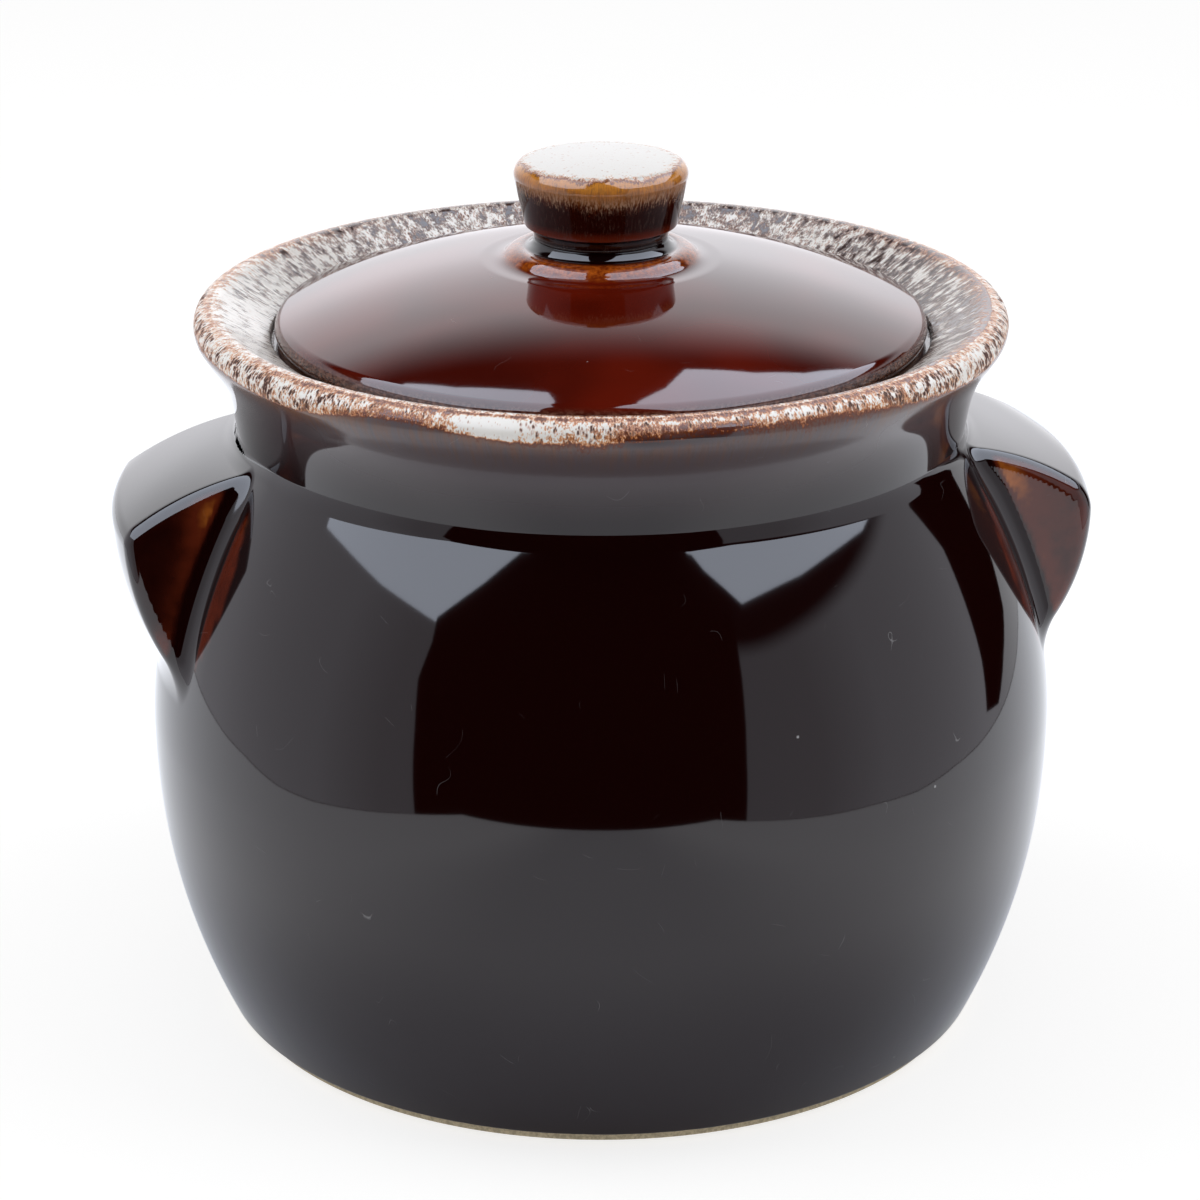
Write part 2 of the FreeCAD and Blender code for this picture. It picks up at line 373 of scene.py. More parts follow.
def glazeMaterial(name):
    material, tree = emptyMaterial(name)
    shader = put(tree, "ShaderNodeBsdfPrincipled", {"IOR": 1.5})
    showSurface(tree, shader)
    return material, tree, shader


def objectPlace(tree):
    # place on the piece in mm, which stays with it when it moves
    return scaled(tree, tree.nodes.new("ShaderNodeTexCoord").outputs["Object"], 1 / mm)


def finishGlaze(tree, shader, colour, roughness, height):
    bump = put(tree, "ShaderNodeBump", {"Height": height, "Strength": 1.0, "Distance": mm})
    feed(tree, shader.inputs["Base Color"], colour)
    feed(tree, shader.inputs["Roughness"], roughness)
    feed(tree, shader.inputs["Normal"], bump.outputs[0])


# Effects that more than one glaze uses, each a group with named inputs. Places are in mm.

breakColours = {
    "dark": (0.006, 0.001, 0.001, 1), "pale": (0.84, 0.815, 0.785, 1),
    # from hardly any froth to thick froth, on the flare and on the lip
    "cool": [(0.0, (0.055, 0.028, 0.020)), (0.30, (0.17, 0.115, 0.095)),
             (0.60, (0.36, 0.295, 0.265)), (0.85, (0.58, 0.53, 0.49))],
    "warm": [(0.0, (0.11, 0.022, 0.005)), (0.30, (0.36, 0.098, 0.018)),
             (0.60, (0.62, 0.265, 0.095)), (0.85, (0.76, 0.51, 0.34))],
    "blot": (0.075, 0.036, 0.026, 1), "hair": (0.070, 0.046, 0.038, 1),
    "rust": (0.42, 0.145, 0.042, 1), "pit": (0.050, 0.014, 0.006, 1),
    "frothLift": 0.06, "pitDepth": 0.12,
}


def glazeSkinGroup():
    # the slight unevenness of a fired glaze, with a few specks and fibres of dust on it
    tree, given, made = newGroup(
        "glazeSkin",
        [("Place", "Vector", None), ("Ripple", "Float", 0.012), ("Peel", "Float", 0.0004),
         ("Dust", "Float", 1.0)],
        [("Height", "Float"), ("Dust", "Float")])
    place = given["Place"]
    broad = times(tree, noise(tree, place, 0.05, 1.0), given["Ripple"])
    fine = times(tree, noise(tree, place, 0.6, 1.0), given["Peel"])
    size = ease(tree, noise(tree, place, 0.04, 1.0), 0.4, 0.7, 0.006, 0.034)
    speck = calc(tree, "LESS_THAN", cells(tree, place, 0.115), size)
    line = calc(tree, "ABSOLUTE", less(tree, noise(tree, place, 0.1, 1.0, 0.5, 0.6), 0.5))
    where = ease(tree, noise(tree, place, 0.16, 0.0), 0.70, 0.74)
    fibre = times(tree, ease(tree, line, 0.0, 0.0016, 1.0, 0.0), where)
    dust = calc(tree, "MAXIMUM", speck, times(tree, fibre, 0.5))
    feed(tree, made["Height"], add(tree, broad, fine))
    feed(tree, made["Dust"], times(tree, dust, given["Dust"], clamp=True))
    return tree


def glazeBreakGroup():
    # thick dark glaze that breaks through amber and tan to pale froth; Cover is the share of the
    # surface that is pale, Long draws the pattern out along the run of the glaze, Soft blurs it
    tree, given, made = newGroup(
        "glazeBreak",
        [("Place", "Vector", None), ("Dark", "Color", breakColours["dark"]),
         ("Pale", "Color", breakColours["pale"]), ("Cover", "Float", 0.0), ("Warm", "Float", 0.0),
         ("Long", "Float", 0.0), ("Soft", "Float", 0.0), ("Pits", "Float", 0.0),
         ("Grain", "Float", 1.0)],
        [("Color", "Color"), ("Pale", "Float"), ("Pit", "Float"), ("Height", "Float")])
    soft, long = given["Soft"], given["Long"]
    place = scaled(tree, given["Place"], given["Grain"])
    blotches = noise(tree, stretched(tree, place, 0.50, 0.34), 1.0, 4.0, 0.62)
    grains = noise(tree, stretched(tree, place, 2.6, 1.5), 1.0, 3.0, 0.7)
    lines = noise(tree, stretched(tree, place, 1.7, 0.22), 1.0, 4.0, 0.66)
    fine = mixed(tree, long, grains, lines)
    fine = mixed(tree, times(tree, soft, 0.30), fine, blotches)
    pattern = add(tree, times(tree, blotches, 1.1), times(tree, fine, 1.5))
    bold = calc(tree, "MULTIPLY_ADD", soft, 0.8, calc(tree, "MULTIPLY_ADD", long, 0.25, 1.0))
    pattern = times(tree, less(tree, pattern, 1.3), bold)   # now about 0
    share = add(tree, less(tree, pattern, 0.5), given["Cover"])
    blur = calc(tree, "MULTIPLY_ADD", soft, 0.05, 0.20)
    froth = calc(tree, "MULTIPLY_ADD", calc(tree, "DIVIDE", share, blur), 0.5, 0.5, clamp=True)
    body = mixed(tree, given["Warm"], shades(tree, froth, breakColours["cool"]),
                 shades(tree, froth, breakColours["warm"]))
    body = mixed(tree, ease(tree, froth, 0.78, 1.0), body, given["Pale"])
    # where hardly any froth lies the dark glaze is bare
    body = mixed(tree, ease(tree, share, -0.62, -0.18), given["Dark"], body)
    # dark blots in the soft froth
    blots = noise(tree, stretched(tree, place, 0.40, 0.30), 1.3, 2.0, 0.5)
    blot = times(tree, ease(tree, blots, 0.60, 0.70), ease(tree, soft, 0.5, 0.9, 0.0, 0.85))
    body = mixed(tree, blot, body, breakColours["blot"])
    # fine dark hairs drawn along the run
    hairs = noise(tree, stretched(tree, place, 1.1, 0.13), 1.0, 2.0, 0.6)
    hair = ease(tree, calc(tree, "ABSOLUTE", less(tree, hairs, 0.5)), 0.012, 0.060, 1.0, 0.0)
    clump = ease(tree, blotches, 0.58, 0.42, 0.15, 1.0)
    body = mixed(tree, times(tree, times(tree, hair, long), clump), body, breakColours["hair"])
    # pits drawn out along the run, each with a rusty edge
    pitCells = cells(tree, stretched(tree, place, 1.9, 0.9), 1.0)
    pitPlace = noise(tree, stretched(tree, place, 1.0, 0.6), 0.4, 4.0, 0.75)
    reach = times(tree, ease(tree, pitPlace, 0.38, 0.60), given["Pits"])
    depth = less(tree, times(tree, reach, 0.70), pitCells)
    pit = times(tree, ease(tree, depth, -0.04, 0.14), froth)
    rust = times(tree, ease(tree, depth, -0.28, 0.02), froth)
    body = mixed(tree, times(tree, rust, 0.7), body, breakColours["rust"])
    body = mixed(tree, pit, body, breakColours["pit"])
    feed(tree, made["Color"], body)
    feed(tree, made["Pale"], froth)
    feed(tree, made["Pit"], pit)
    feed(tree, made["Height"], less(tree, times(tree, froth, breakColours["frothLift"]),
                                    times(tree, pit, breakColours["pitDepth"])))
    return tree


def bareClayGroup():
    # unglazed fired clay with a sandy grain
    tree, given, made = newGroup(
        "bareClay", [("Place", "Vector", None), ("Color", "Color", (0.45, 0.38, 0.26, 1))],
        [("Color", "Color"), ("Height", "Float")])
    grain = noise(tree, given["Place"], 1.4, 3.0, 0.7)
    deep, pale = (put(tree, "ShaderNodeHueSaturation", {"Value": value, "Color": given["Color"]})
                  .outputs[0] for value in (0.72, 1.15))
    feed(tree, made["Color"], mixed(tree, ease(tree, grain, 0.35, 0.65), deep, pale))
    feed(tree, made["Height"], times(tree, grain, 0.12))
    return tree


skin, glazeBreak, bareClay = glazeSkinGroup(), glazeBreakGroup(), bareClayGroup()

potGlaze = {
    "dark": (0.0075, 0.0010, 0.0009, 1),    # thick glaze
    "thin": (0.105, 0.0155, 0.0055, 1), "amber": (0.42, 0.12, 0.017, 1),
    "milk": (0.112, 0.084, 0.092, 1), "tan": (0.17, 0.075, 0.040, 1),   # haze towards the froth
    "dust": (0.5, 0.5, 0.52, 1), "clay": (0.46, 0.39, 0.27, 1),
    "gloss": 0.045, "frothGloss": 0.2, "hazeGloss": 0.20, "pitGloss": 0.6, "dustGloss": 0.4,
    "clayRoughness": 0.85,
}


def makePotGlaze():
    material, tree, shader = glazeMaterial("potGlaze")
    place = objectPlace(tree)
    ring = meshMark(tree, "glazePlace", "Vector")
    surface = placeGroup(tree, skin, {"Place": place})
    mottle = noise(tree, place, 0.16, 3.0, 0.6)
    thinness = times(tree, meshMark(tree, "thin"), ease(tree, mottle, 0.2, 0.75, 0.6, 1.25))
    dark = mixed(tree, ease(tree, thinness, 0.0, 0.6), potGlaze["dark"], potGlaze["thin"])
    dark = mixed(tree, ease(tree, thinness, 0.6, 1.15), dark, potGlaze["amber"])
    # the glaze turns milky towards the froth, with tan runs in it
    haze = meshMark(tree, "haze")
    runs = noise(tree, stretched(tree, ring, 0.9, 0.10), 1.0, 3.0, 0.6)
    tanned = ease(tree, add(tree, haze, swung(tree, runs, 0.6)), 0.55, 0.95)
    dark = mixed(tree, haze, dark, mixed(tree, tanned, potGlaze["milk"], potGlaze["tan"]))
    inputs = {label.capitalize(): meshMark(tree, label)
              for label in ("cover", "warm", "long", "soft", "pits")}
    froth = placeGroup(tree, glazeBreak, {"Place": ring, "Dark": dark, **inputs})
    body = mixed(tree, times(tree, surface["Dust"], 0.5), froth["Color"], potGlaze["dust"])
    # the glaze ends in a wavering line above the bare foot and beside the bare ledge
    waver = swung(tree, noise(tree, ring, 0.25, 2.0), 0.9)
    bare = ease(tree, add(tree, meshMark(tree, "bare"), waver), -0.08, 0.12)
    clay = placeGroup(tree, bareClay, {"Place": place, "Color": potGlaze["clay"]})
    gloss = add(tree, potGlaze["gloss"],
                times(tree, froth["Pale"], potGlaze["frothGloss"] - potGlaze["gloss"]))
    gloss = add(tree, gloss, times(tree, surface["Dust"], potGlaze["dustGloss"]))
    gloss = add(tree, gloss, ease(tree, haze, 0.5, 0.95, 0.0, potGlaze["hazeGloss"]))
    gloss = add(tree, gloss, times(tree, froth["Pit"], potGlaze["pitGloss"]))
    finishGlaze(tree, shader, mixed(tree, bare, body, clay["Color"]),
                between(tree, bare, gloss, potGlaze["clayRoughness"]),
                between(tree, bare, add(tree, surface["Height"], froth["Height"]), clay["Height"]))
    print("pot glaze made")
    return material


potMaterial = makePotGlaze()

# The turned pot: bare foot ring, round belly, shoulder, neck, flared collar and rolled lip.

pot = {
    "bellyRadius": 90.0, "bellyHeight": 61.0,
    "footInset": 12.8, "lowerFullness": 2.15,   # how far and how late the wall draws in below
    "bareHeight": 2.4, "bareInset": 2.0, "bareSlope": 0.4, "footEdge": 0.7,
    "footRing": 6.0, "footRecess": 2.6,
    "shoulderRise": 56.5, "shoulderInset": 17.4, "upperFullness": 1.85,
    "neckRise": 3.7, "neckInset": 0.95, "neckLean": 0.02,
    "collarLean": 0.12, "waistRise": 10.8, "waistSpread": 2.7,
    "lipRise": 19.7, "lipSpread": 4.0, "lipRoll": 3.55,
    "lipTurn": 30.0,                            # how far the lip's roll goes on below level
    "wall": 6.6, "base": 7.0, "floorCorner": 16.0, "collarWall": 7.15,
    # the gallery is the step inside the collar that carries the lid
    "galleryDepth": 7.4, "galleryStep": 1.4,
    "ledgeWidth": 6.3, "ledgeThickness": 4.6, "ledgeEdge": 1.2, "bareLedgeEdge": 3.0,
    "segments": 360, "ringSize": 78.0,
}

shoulderHeight = pot["bellyHeight"] + pot["shoulderRise"]
creaseRadius = pot["bellyRadius"] - pot["shoulderInset"] - pot["neckInset"]
creaseHeight = shoulderHeight + pot["neckRise"]
crease = (creaseRadius, creaseHeight)
waist = (creaseRadius + pot["waistSpread"], creaseHeight + pot["waistRise"])
lipCentre = (creaseRadius + pot["lipSpread"], creaseHeight + pot["lipRise"])
underLip = onCircle(lipCentre, pot["lipRoll"], -pot["lipTurn"])
galleryHeight = lipCentre[1] + pot["lipRoll"] - pot["galleryDepth"]
galleryRadius = creaseRadius - pot["collarWall"]
mouthRadius = galleryRadius - pot["ledgeWidth"]


def wallRadius(height):
    if height <= pot["bellyHeight"]:
        share = (pot["bellyHeight"] - height) / (pot["bellyHeight"] - pot["bareHeight"])
        return pot["bellyRadius"] - pot["footInset"] * share ** pot["lowerFullness"]
    share = (height - pot["bellyHeight"]) / pot["shoulderRise"]
    return pot["bellyRadius"] - pot["shoulderInset"] * share ** pot["upperFullness"]


def wallWay(height, down=False, reach=0.05):
    slope = (wallRadius(height + reach) - wallRadius(height - reach)) / (2 * reach)
    length = math.hypot(slope, 1)
    return (-slope / length, -1 / length) if down else (slope / length, 1 / length)


def wallRun(start, end, inset=0.0, count=60):
    heights = [start + (end - start) * k / count for k in range(count + 1)]
    return [(wallRadius(h) - inset, h, *wallWay(h, end < start)) for h in heights]


neckStart = (wallRadius(shoulderHeight), shoulderHeight)
glazeEnd = (wallRadius(pot["bareHeight"]), pot["bareHeight"])


def potOutline():
    floor = pot["footRecess"] + pot["base"]
    size = pot["floorCorner"]
    low = floor + size
    for _ in range(12):   # where the round corner of the floor runs into the wall
        across = wallWay(low)
        low = floor + size * (1 - across[0])
    inner = (wallRadius(low) - pot["wall"], low)
    corner = (inner[0] - across[1] * size, inner[1] + across[0] * size)
    cornerEnd = math.degrees(math.atan2(-across[0], across[1]))
    ledge = (mouthRadius + pot["ledgeEdge"], galleryHeight - pot["ledgeEdge"])
    mouthLow = (mouthRadius, galleryHeight - pot["ledgeThickness"])
    galleryTop = (galleryRadius, galleryHeight + pot["galleryStep"])
    lipInner = towardsRound(lipCentre, pot["lipRoll"], galleryTop)
    bare = pot["bellyRadius"] - pot["footInset"] - pot["bareInset"]
    bareTop = (bare, pot["bareHeight"] - pot["bareSlope"] * pot["bareInset"])
    edge = (bare - pot["footEdge"], pot["footEdge"])
    ringInner = bare - pot["footRing"]
    recess = (ringInner - pot["footRecess"], pot["footRecess"])
    return joinRuns(
        lineRun((0, floor), (corner[0], floor), 5),
        arcRun(corner, size, -90, cornerEnd, 16),
        wallRun(low, shoulderHeight, pot["wall"], 40),
        curveRun([(neckStart[0] - pot["wall"], shoulderHeight), mouthLow],
                 wallWay(shoulderHeight), (-pot["neckLean"], 1), 10),
        lineRun(mouthLow, (mouthRadius, ledge[1])),
        arcRun(ledge, pot["ledgeEdge"], 180, 90, 8),
        lineRun((ledge[0], galleryHeight), (galleryRadius, galleryHeight), 3),
        lineRun((galleryRadius, galleryHeight), galleryTop),
        lineRun(galleryTop, onCircle(lipCentre, pot["lipRoll"], lipInner), 14),
        arcRun(lipCentre, pot["lipRoll"], lipInner, -pot["lipTurn"], 34),
        curveRun([underLip, waist, crease], clockwise(-pot["lipTurn"]),
                 (-pot["collarLean"], -1), 16),
        curveRun([crease, neckStart], (pot["neckLean"], -1), wallWay(shoulderHeight, True), 10),
        wallRun(shoulderHeight, pot["bareHeight"], 0.0, 90),
        lineRun(glazeEnd, bareTop),
        lineRun(bareTop, (bare, pot["footEdge"])),
        arcRun(edge, pot["footEdge"], 0, -90, 6),
        lineRun((edge[0], 0), (ringInner, 0)),
        lineRun((ringInner, 0), recess),
        lineRun(recess, (0, pot["footRecess"]), 5),
    )


# The froth on the rim. Places are angles right of the front, widths are half widths, and the
# distances are millimetres along the glaze from the crest of the lip.

rimFroth = {
    "outer": 4.7, "inner": 15.5,   # how far the froth reaches from the crest, out and in
    # where it reaches further out, or less far, and by how much
    "lobes": [(-10, 9, 0.9), (3, 6, 0.4), (16, 5, -0.4), (30, 10, -0.9), (-30, 7, -0.3),
              (-52, 16, 1.7), (60, 14, 1.5), (100, 20, 0.8), (-120, 18, 1.5), (150, 16, 1.2),
              (-165, 14, 0.6)],
    "reachWaves": [(7, 0.3, 0.4), (13, 0.25, 2.0)],
    # where pale runs go further down, and by how much
    "drips": [(-2, 4, 3.0), (29, 11, 3.8), (-9, 5, 0.8), (-75, 9, 3.4), (52, 8, 2.2), (95, 12, 3.6),
              (125, 9, 3.0), (-110, 12, 4.0), (-150, 9, 3.2), (172, 12, 4.0)],
    # smooth and creamy places
    "calm": [(-14.0, 4.4, 1.0), (27, 5, 0.3), (140, 12, 0.6), (-140, 12, 0.5)],
    # where a band of bare amber glaze shows under the froth
    "amber": [(6, 4.5, 0.9), (15, 5, 1.0), (-27, 6, 0.5), (118, 8, 0.8), (-95, 6, 0.6)],
    # share of the lip's outside that is pale, with more above its lower edge and at the sides
    "cover": 0.60, "innerMore": 0.14, "sideMore": 0.07,
    # what is lost of that on the crest, in front as a narrow line, and at the amber places
    "frontLine": 0.38, "sideCrest": 0.28, "amberLoss": 0.36, "amberEdgeLoss": 0.3,
    "dripStart": 0.80, "dripEnd": -0.28,   # the same share just below that edge and far below it
    "calmMore": 0.6,
    # share of the inner flare that is pale, at angles from the front
    "innerAngles": [-180, -140, -115, -85, -50, 0, 50, 85, 115, 140, 180],
    "innerCover": [0.62, 0.62, 0.72, 0.97, 0.92, 0.86, 0.70, 0.50, 0.46, 0.62, 0.62],
    "innerWaves": [(9, 0.05, 1.0), (5, 0.05, 0.3), (23, 0.03, 2.2)],
    # what is lost of that on the crest, in front and at the sides, and down at the ledge
    "innerFrontCrest": 0.34, "innerSideCrest": 0.26, "innerFade": 0.35,
    "sideTurns": (45, 75),         # where the front of the lip passes into its sides
    # the milky glaze begins and is full at these heights above the collar's crease
    "milkRises": (0.8, 17.8), "milk": 0.65, "milkAtFroth": 0.35,
    "seatMilk": 0.85, "insideMilk": 0.3,
    "swell": 0.22, "stand": 0.10,  # how proud the froth lies at its lower edge and elsewhere
}
# thin red glaze on the wall beside each lug, on the collar and at the amber
thinWall = {
    "besideLug": 26.4,             # half the width of a lug and its joint
    "low": 76.0, "rise": 37.0, "span": 6.6, "patch": 0.40,
    "collar": 0.05, "collarRises": (0.0, 4.0, 16.8, 20.8), "amber": 0.9,
}


def frothReach(angles):
    lobes = bumps(angles, rimFroth["lobes"], rimFroth["outer"])
    return lobes + waves(angles, rimFroth["reachWaves"])


def placesOf(kind, angles, base=0.0):
    return np.clip(bumps(angles, rimFroth[kind], base), 0, 1)


def potMarks(outline, crest):
    # run is above 0 on the outside and below 0 inside; side is the angle from the front, both ways
    runs = followed(outline, crest)
    inner = rimFroth["inner"]

    def runAt(radius, height):
        return runs[np.argmin(np.hypot(outline[:, 0] - radius, outline[:, 1] - height))]

    glazeEdge = runAt(*glazeEnd)
    seatOuter = runAt(galleryRadius, galleryHeight) - pot["bareLedgeEdge"]
    seatInner = runAt(mouthRadius, galleryHeight - 1)

    def cover(run, angles):
        past = run - frothReach(angles)
        side = np.abs(turnedFrom(angles))
        atSide = step(side, *rimFroth["sideTurns"])
        amber = placesOf("amber", angles)
        drip = np.clip(bumps(angles, rimFroth["drips"], 1.0), 0.3, 5.0)
        line = hump(run, 1.2, 0.8) * (1 - step(side, 40, 70))
        near = rimFroth["cover"] + rimFroth["innerMore"] * step(-past, 0, 2.4)
        near = near + rimFroth["sideMore"] * step(side, 35, 70)
        near = near - rimFroth["frontLine"] * line
        near = near - rimFroth["sideCrest"] * hump(run, 0, 2.4) * atSide
        near = near - rimFroth["amberLoss"] * amber * step(run, 2.2, 3.0)
        # past the lower edge the froth thins out, slowly where it drips
        below = (rimFroth["dripStart"] * np.exp(-past / (0.55 * drip)) + rimFroth["dripEnd"]
                 + 0.14 * np.exp(-past / 0.4) - 0.10 * np.clip(past / drip, 0, 4))
        outside = np.where(past < 0, near, below)
        outside = outside - rimFroth["amberEdgeLoss"] * amber * hump(past, 0, 0.8)
        outside = outside + (rimFroth["calmMore"] * placesOf("calm", angles)
                             * step(-past, -0.6, 1.4) * step(run, 1.0, 2.2))
        inside = np.interp(turnedFrom(angles), rimFroth["innerAngles"], rimFroth["innerCover"])
        inside = inside + waves(angles, rimFroth["innerWaves"])
        inside = inside - rimFroth["innerSideCrest"] * hump(run, 0, 2.2) * atSide
        inside = inside - rimFroth["innerFrontCrest"] * hump(run, 0, 2.0) * (1 - atSide)
        inside = inside - rimFroth["innerFade"] * step(-run, inner - 5, inner)
        return np.where(run > 0, outside, np.where(-run > inner, -1.0, inside))

    def warm(run, angles):
        # rusty on the crest, most of all at the sides, and down to the froth's lower edge
        side = np.abs(turnedFrom(angles))
        aside = step(side, 45, 80)
        onCrest = hump(run, 0, 1.6 + 1.6 * aside) * (1 - 0.8 * step(side, 110, 150))
        outside = step(run, 0.3, 1.0) * (0.85 - 0.35 * aside)
        return np.clip(onCrest + outside + step(run - frothReach(angles), -2.2, 0.3), 0.08, 1)

    def long(run, angles):
        # drawn out on the flare, less at the back, and a little below the lip
        back = step(np.abs(turnedFrom(angles)), 105, 150)
        flare = step(-run, 0.5, 3.0) * (1 - step(-run, inner + 1, inner + 4))
        return (1 - 0.85 * back) * flare + 0.35 * step(run, 4, 7) * (1 - step(run, 12, 16))

    def soft(run, angles):
        back = step(np.abs(turnedFrom(angles)), 80, 140)
        return (0.35 + 0.65 * back) * step(-run, -1.0, 1.0)

    def pits(run, angles):
        # on the outside of the lip, and on the flare at the back
        side = np.abs(turnedFrom(angles))
        outer = step(run, 0.8, 2.2) * (0.72 + 0.28 * step(side, 20, 45))
        back = 0.60 * step(side, 120, 150) * step(-run, 1, 3)
        return outer * (1 - placesOf("calm", angles)) + back

    def haze(run, angles):
        rise = np.interp(run, runs, outline[:, 1]) - creaseHeight
        past = run - frothReach(angles)
        milky = (rimFroth["milk"] * step(rise, *rimFroth["milkRises"])
                 + rimFroth["milkAtFroth"] * np.exp(-past / 1.8))
        milky = milky * (1 - 0.8 * placesOf("amber", angles) * hump(past, 0, 1.3))
        seat = rimFroth["seatMilk"] * (-run > inner) * (-run < inner + 4)
        inside = np.where(-run > inner, seat, rimFroth["insideMilk"])
        return np.where(run > 0, np.clip(milky, 0, 1), inside)

    def bare(run, angles):
        ledge = np.minimum(seatOuter - run, run - seatInner)
        return np.maximum(run - glazeEdge, ledge) + 0 * angles

    def thin(run, angles):
        radius, height = np.interp(run, runs, outline[:, 0]), np.interp(run, runs, outline[:, 1])
        beside = np.abs(radius * np.sin(angles)) - thinWall["besideLug"]
        high = np.clip((height - thinWall["low"]) / thinWall["rise"], 0, 1)
        span = thinWall["span"] * np.sin(math.pi * high) ** 0.8
        patch = step(beside, -0.6, 0.2) * (1 - step(beside - span, -0.5, 0.2)) * (span > 0.3)
        rise, ends = height - creaseHeight, thinWall["collarRises"]
        collar = step(rise, *ends[:2]) * (1 - step(rise, *ends[2:]))
        amber = placesOf("amber", angles) * hump(run, 3.6, 1.2)
        shown = thinWall["patch"] * patch + thinWall["collar"] * collar + thinWall["amber"] * amber
        return np.where(run > 0, shown, 0)

    return {"cover": cover, "warm": warm, "long": long, "soft": soft, "pits": pits, "haze": haze,
            "bare": bare, "thin": thin}


def rimRelief(run, angles):
    # the froth lies a little proud of the dark glaze, most at its lower edge
    past = run - frothReach(angles)
    within = 1 / (1 + np.exp(past * 1.6)) / (1 + np.exp(-(run + rimFroth["inner"] + 1) * 1.6))
    swell = hump(past, -1.6, 1.6) * placesOf("calm", angles, 0.25)
    return rimFroth["stand"] * within + rimFroth["swell"] * swell


potLine = potOutline()
crest = int(np.argmax(potLine[:, 1]))
potBody = turnedPiece("potBody", potLine, pot["segments"], potMaterial, pot["ringSize"],
                      potMarks(potLine, crest), crest, rimRelief)
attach(potBody, "pot")
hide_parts("pot_body")
print("pot made")


# The lugs are one wedge form, joined to the pot's surface with a small round. Both were shaped by
# hand: each has its own tip and back, and lean is the slope of its sides.

lug = {
    "width": 46.0, "reach": 6.8, "rootDrop": 3.2, "length": 34.3, "rootDepth": 4.7,
    "sideRound": 2.6, "backInset": 0.22, "leanFrom": 106.0,
    "joint": 3.4, "collarJoint": 1.3,   # radius of the clay smoothed into the corner with the pot
    "collarNear": 110.0,                # height at which that radius begins to shrink
    "skirt": 1.6,                       # how far the piece runs on under the pot's surface
    "stand": 0.012, "sink": 0.13,       # how it stands over the pot at first and dies into it
    # the form is found along rays from a point inside the pot
    "rayStart": (45.0, 0.0, 92.0), "raySides": 1.5, "rayDown": -1.05, "rayUp": 1.2,
    "rayLengths": (5.0, 75.0), "backPoint": (79.0, 0.0, 94.0), "rows": 190, "columns": 190,
    # where the glaze is thin: the corner under the collar, along the wall, and low down
    "thinCorner": (79.0, 110.0), "thinWall": 4.5, "thinLow": 80.0, "thinSpread": 6.0,
    "thinShares": (0.55, 0.22, 0.35), "jointEdge": (-0.6, 0.8),
}
rightLug = {"tipDrop": 13.4, "topBulge": 2.0, "outerBulge": 4.1, "tipRound": 3.0, "lean": 0.0,
            "thin": 0.34}
leftLug = {"tipDrop": 14.6, "topBulge": 1.6, "outerBulge": 3.3, "tipRound": 1.8, "lean": 0.13,
           "thin": 0.10}


def outerTable():
    # the pot's outside as heights and radii, from the foot of the lugs up to the lip
    neck = curveRun([neckStart, crease], wallWay(shoulderHeight), (-pot["neckLean"], 1), 80)
    upward = tuple(-way for way in clockwise(-pot["lipTurn"]))
    collar = curveRun([crease, waist, underLip], (pot["collarLean"], 1), upward, 120)
    wall = wallRun(40, shoulderHeight, 0, 1500)
    rows = np.array([s[:2] for s in wall[:-1] + neck[:-1] + collar])
    return rows[:, 1], rows[:, 0]


tableHeights, tableRadii = outerTable()


def roundedMax(a, b, size):
    return (np.minimum(np.maximum(a, b), -size)
            + np.hypot(np.maximum(a + size, 0), np.maximum(b + size, 0)))


def potField(spots):
    # about the distance from the pot's outside
    r, z = np.hypot(spots[..., 0], spots[..., 1]), spots[..., 2]
    radius = np.interp(z, tableHeights, tableRadii)
    above, below = (np.interp(z + rise, tableHeights, tableRadii) for rise in (0.5, -0.5))
    slope = above - below
    return (r - radius) / np.sqrt(1 + slope ** 2)


def bulgeCircle(a, b, bulge):
    # centre and radius of the arc from a to b that stands out to the left of the line between them
    span = math.hypot(b[0] - a[0], b[1] - a[1])
    size = (span ** 2 / 4 + bulge ** 2) / (2 * bulge)
    left = (-(b[1] - a[1]) / span, (b[0] - a[0]) / span)
    middle = ((a[0] + b[0]) / 2, (a[1] + b[1]) / 2)
    return (middle[0] + left[0] * (bulge - size), middle[1] + left[1] * (bulge - size)), size


def lugField(spots, shape):
    root = (creaseRadius, creaseHeight - lug["rootDrop"])
    tip = (pot["bellyRadius"] + lug["reach"], creaseHeight - shape["tipDrop"])
    foot = (wallRadius(tip[1] - lug["length"]) - lug["rootDepth"], tip[1] - lug["length"])
    topSpot, topSize = bulgeCircle(root, tip, shape["topBulge"])
    backSpot, backSize = bulgeCircle(tip, foot, shape["outerBulge"])
    r, z = np.hypot(spots[..., 0], spots[..., 1]), spots[..., 2]
    top = np.hypot(r - topSpot[0], z - topSpot[1]) - topSize
    back = np.hypot(r - backSpot[0], z - backSpot[1]) - backSize + lug["backInset"]
    wedge = roundedMax(top, back, shape["tipRound"])
    sides = np.abs(spots[..., 1]) - lug["width"] / 2 - shape["lean"] * (lug["leanFrom"] - z)
    return roundedMax(wedge, sides, lug["sideRound"])


def lugJoint(spots):
    return np.interp(spots[..., 2], [lug["collarNear"], creaseHeight - 2],
                     [lug["joint"], lug["collarJoint"]])


def lugForm(spots, shape):
    return -roundedMax(-potField(spots), -lugField(spots, shape), lugJoint(spots))


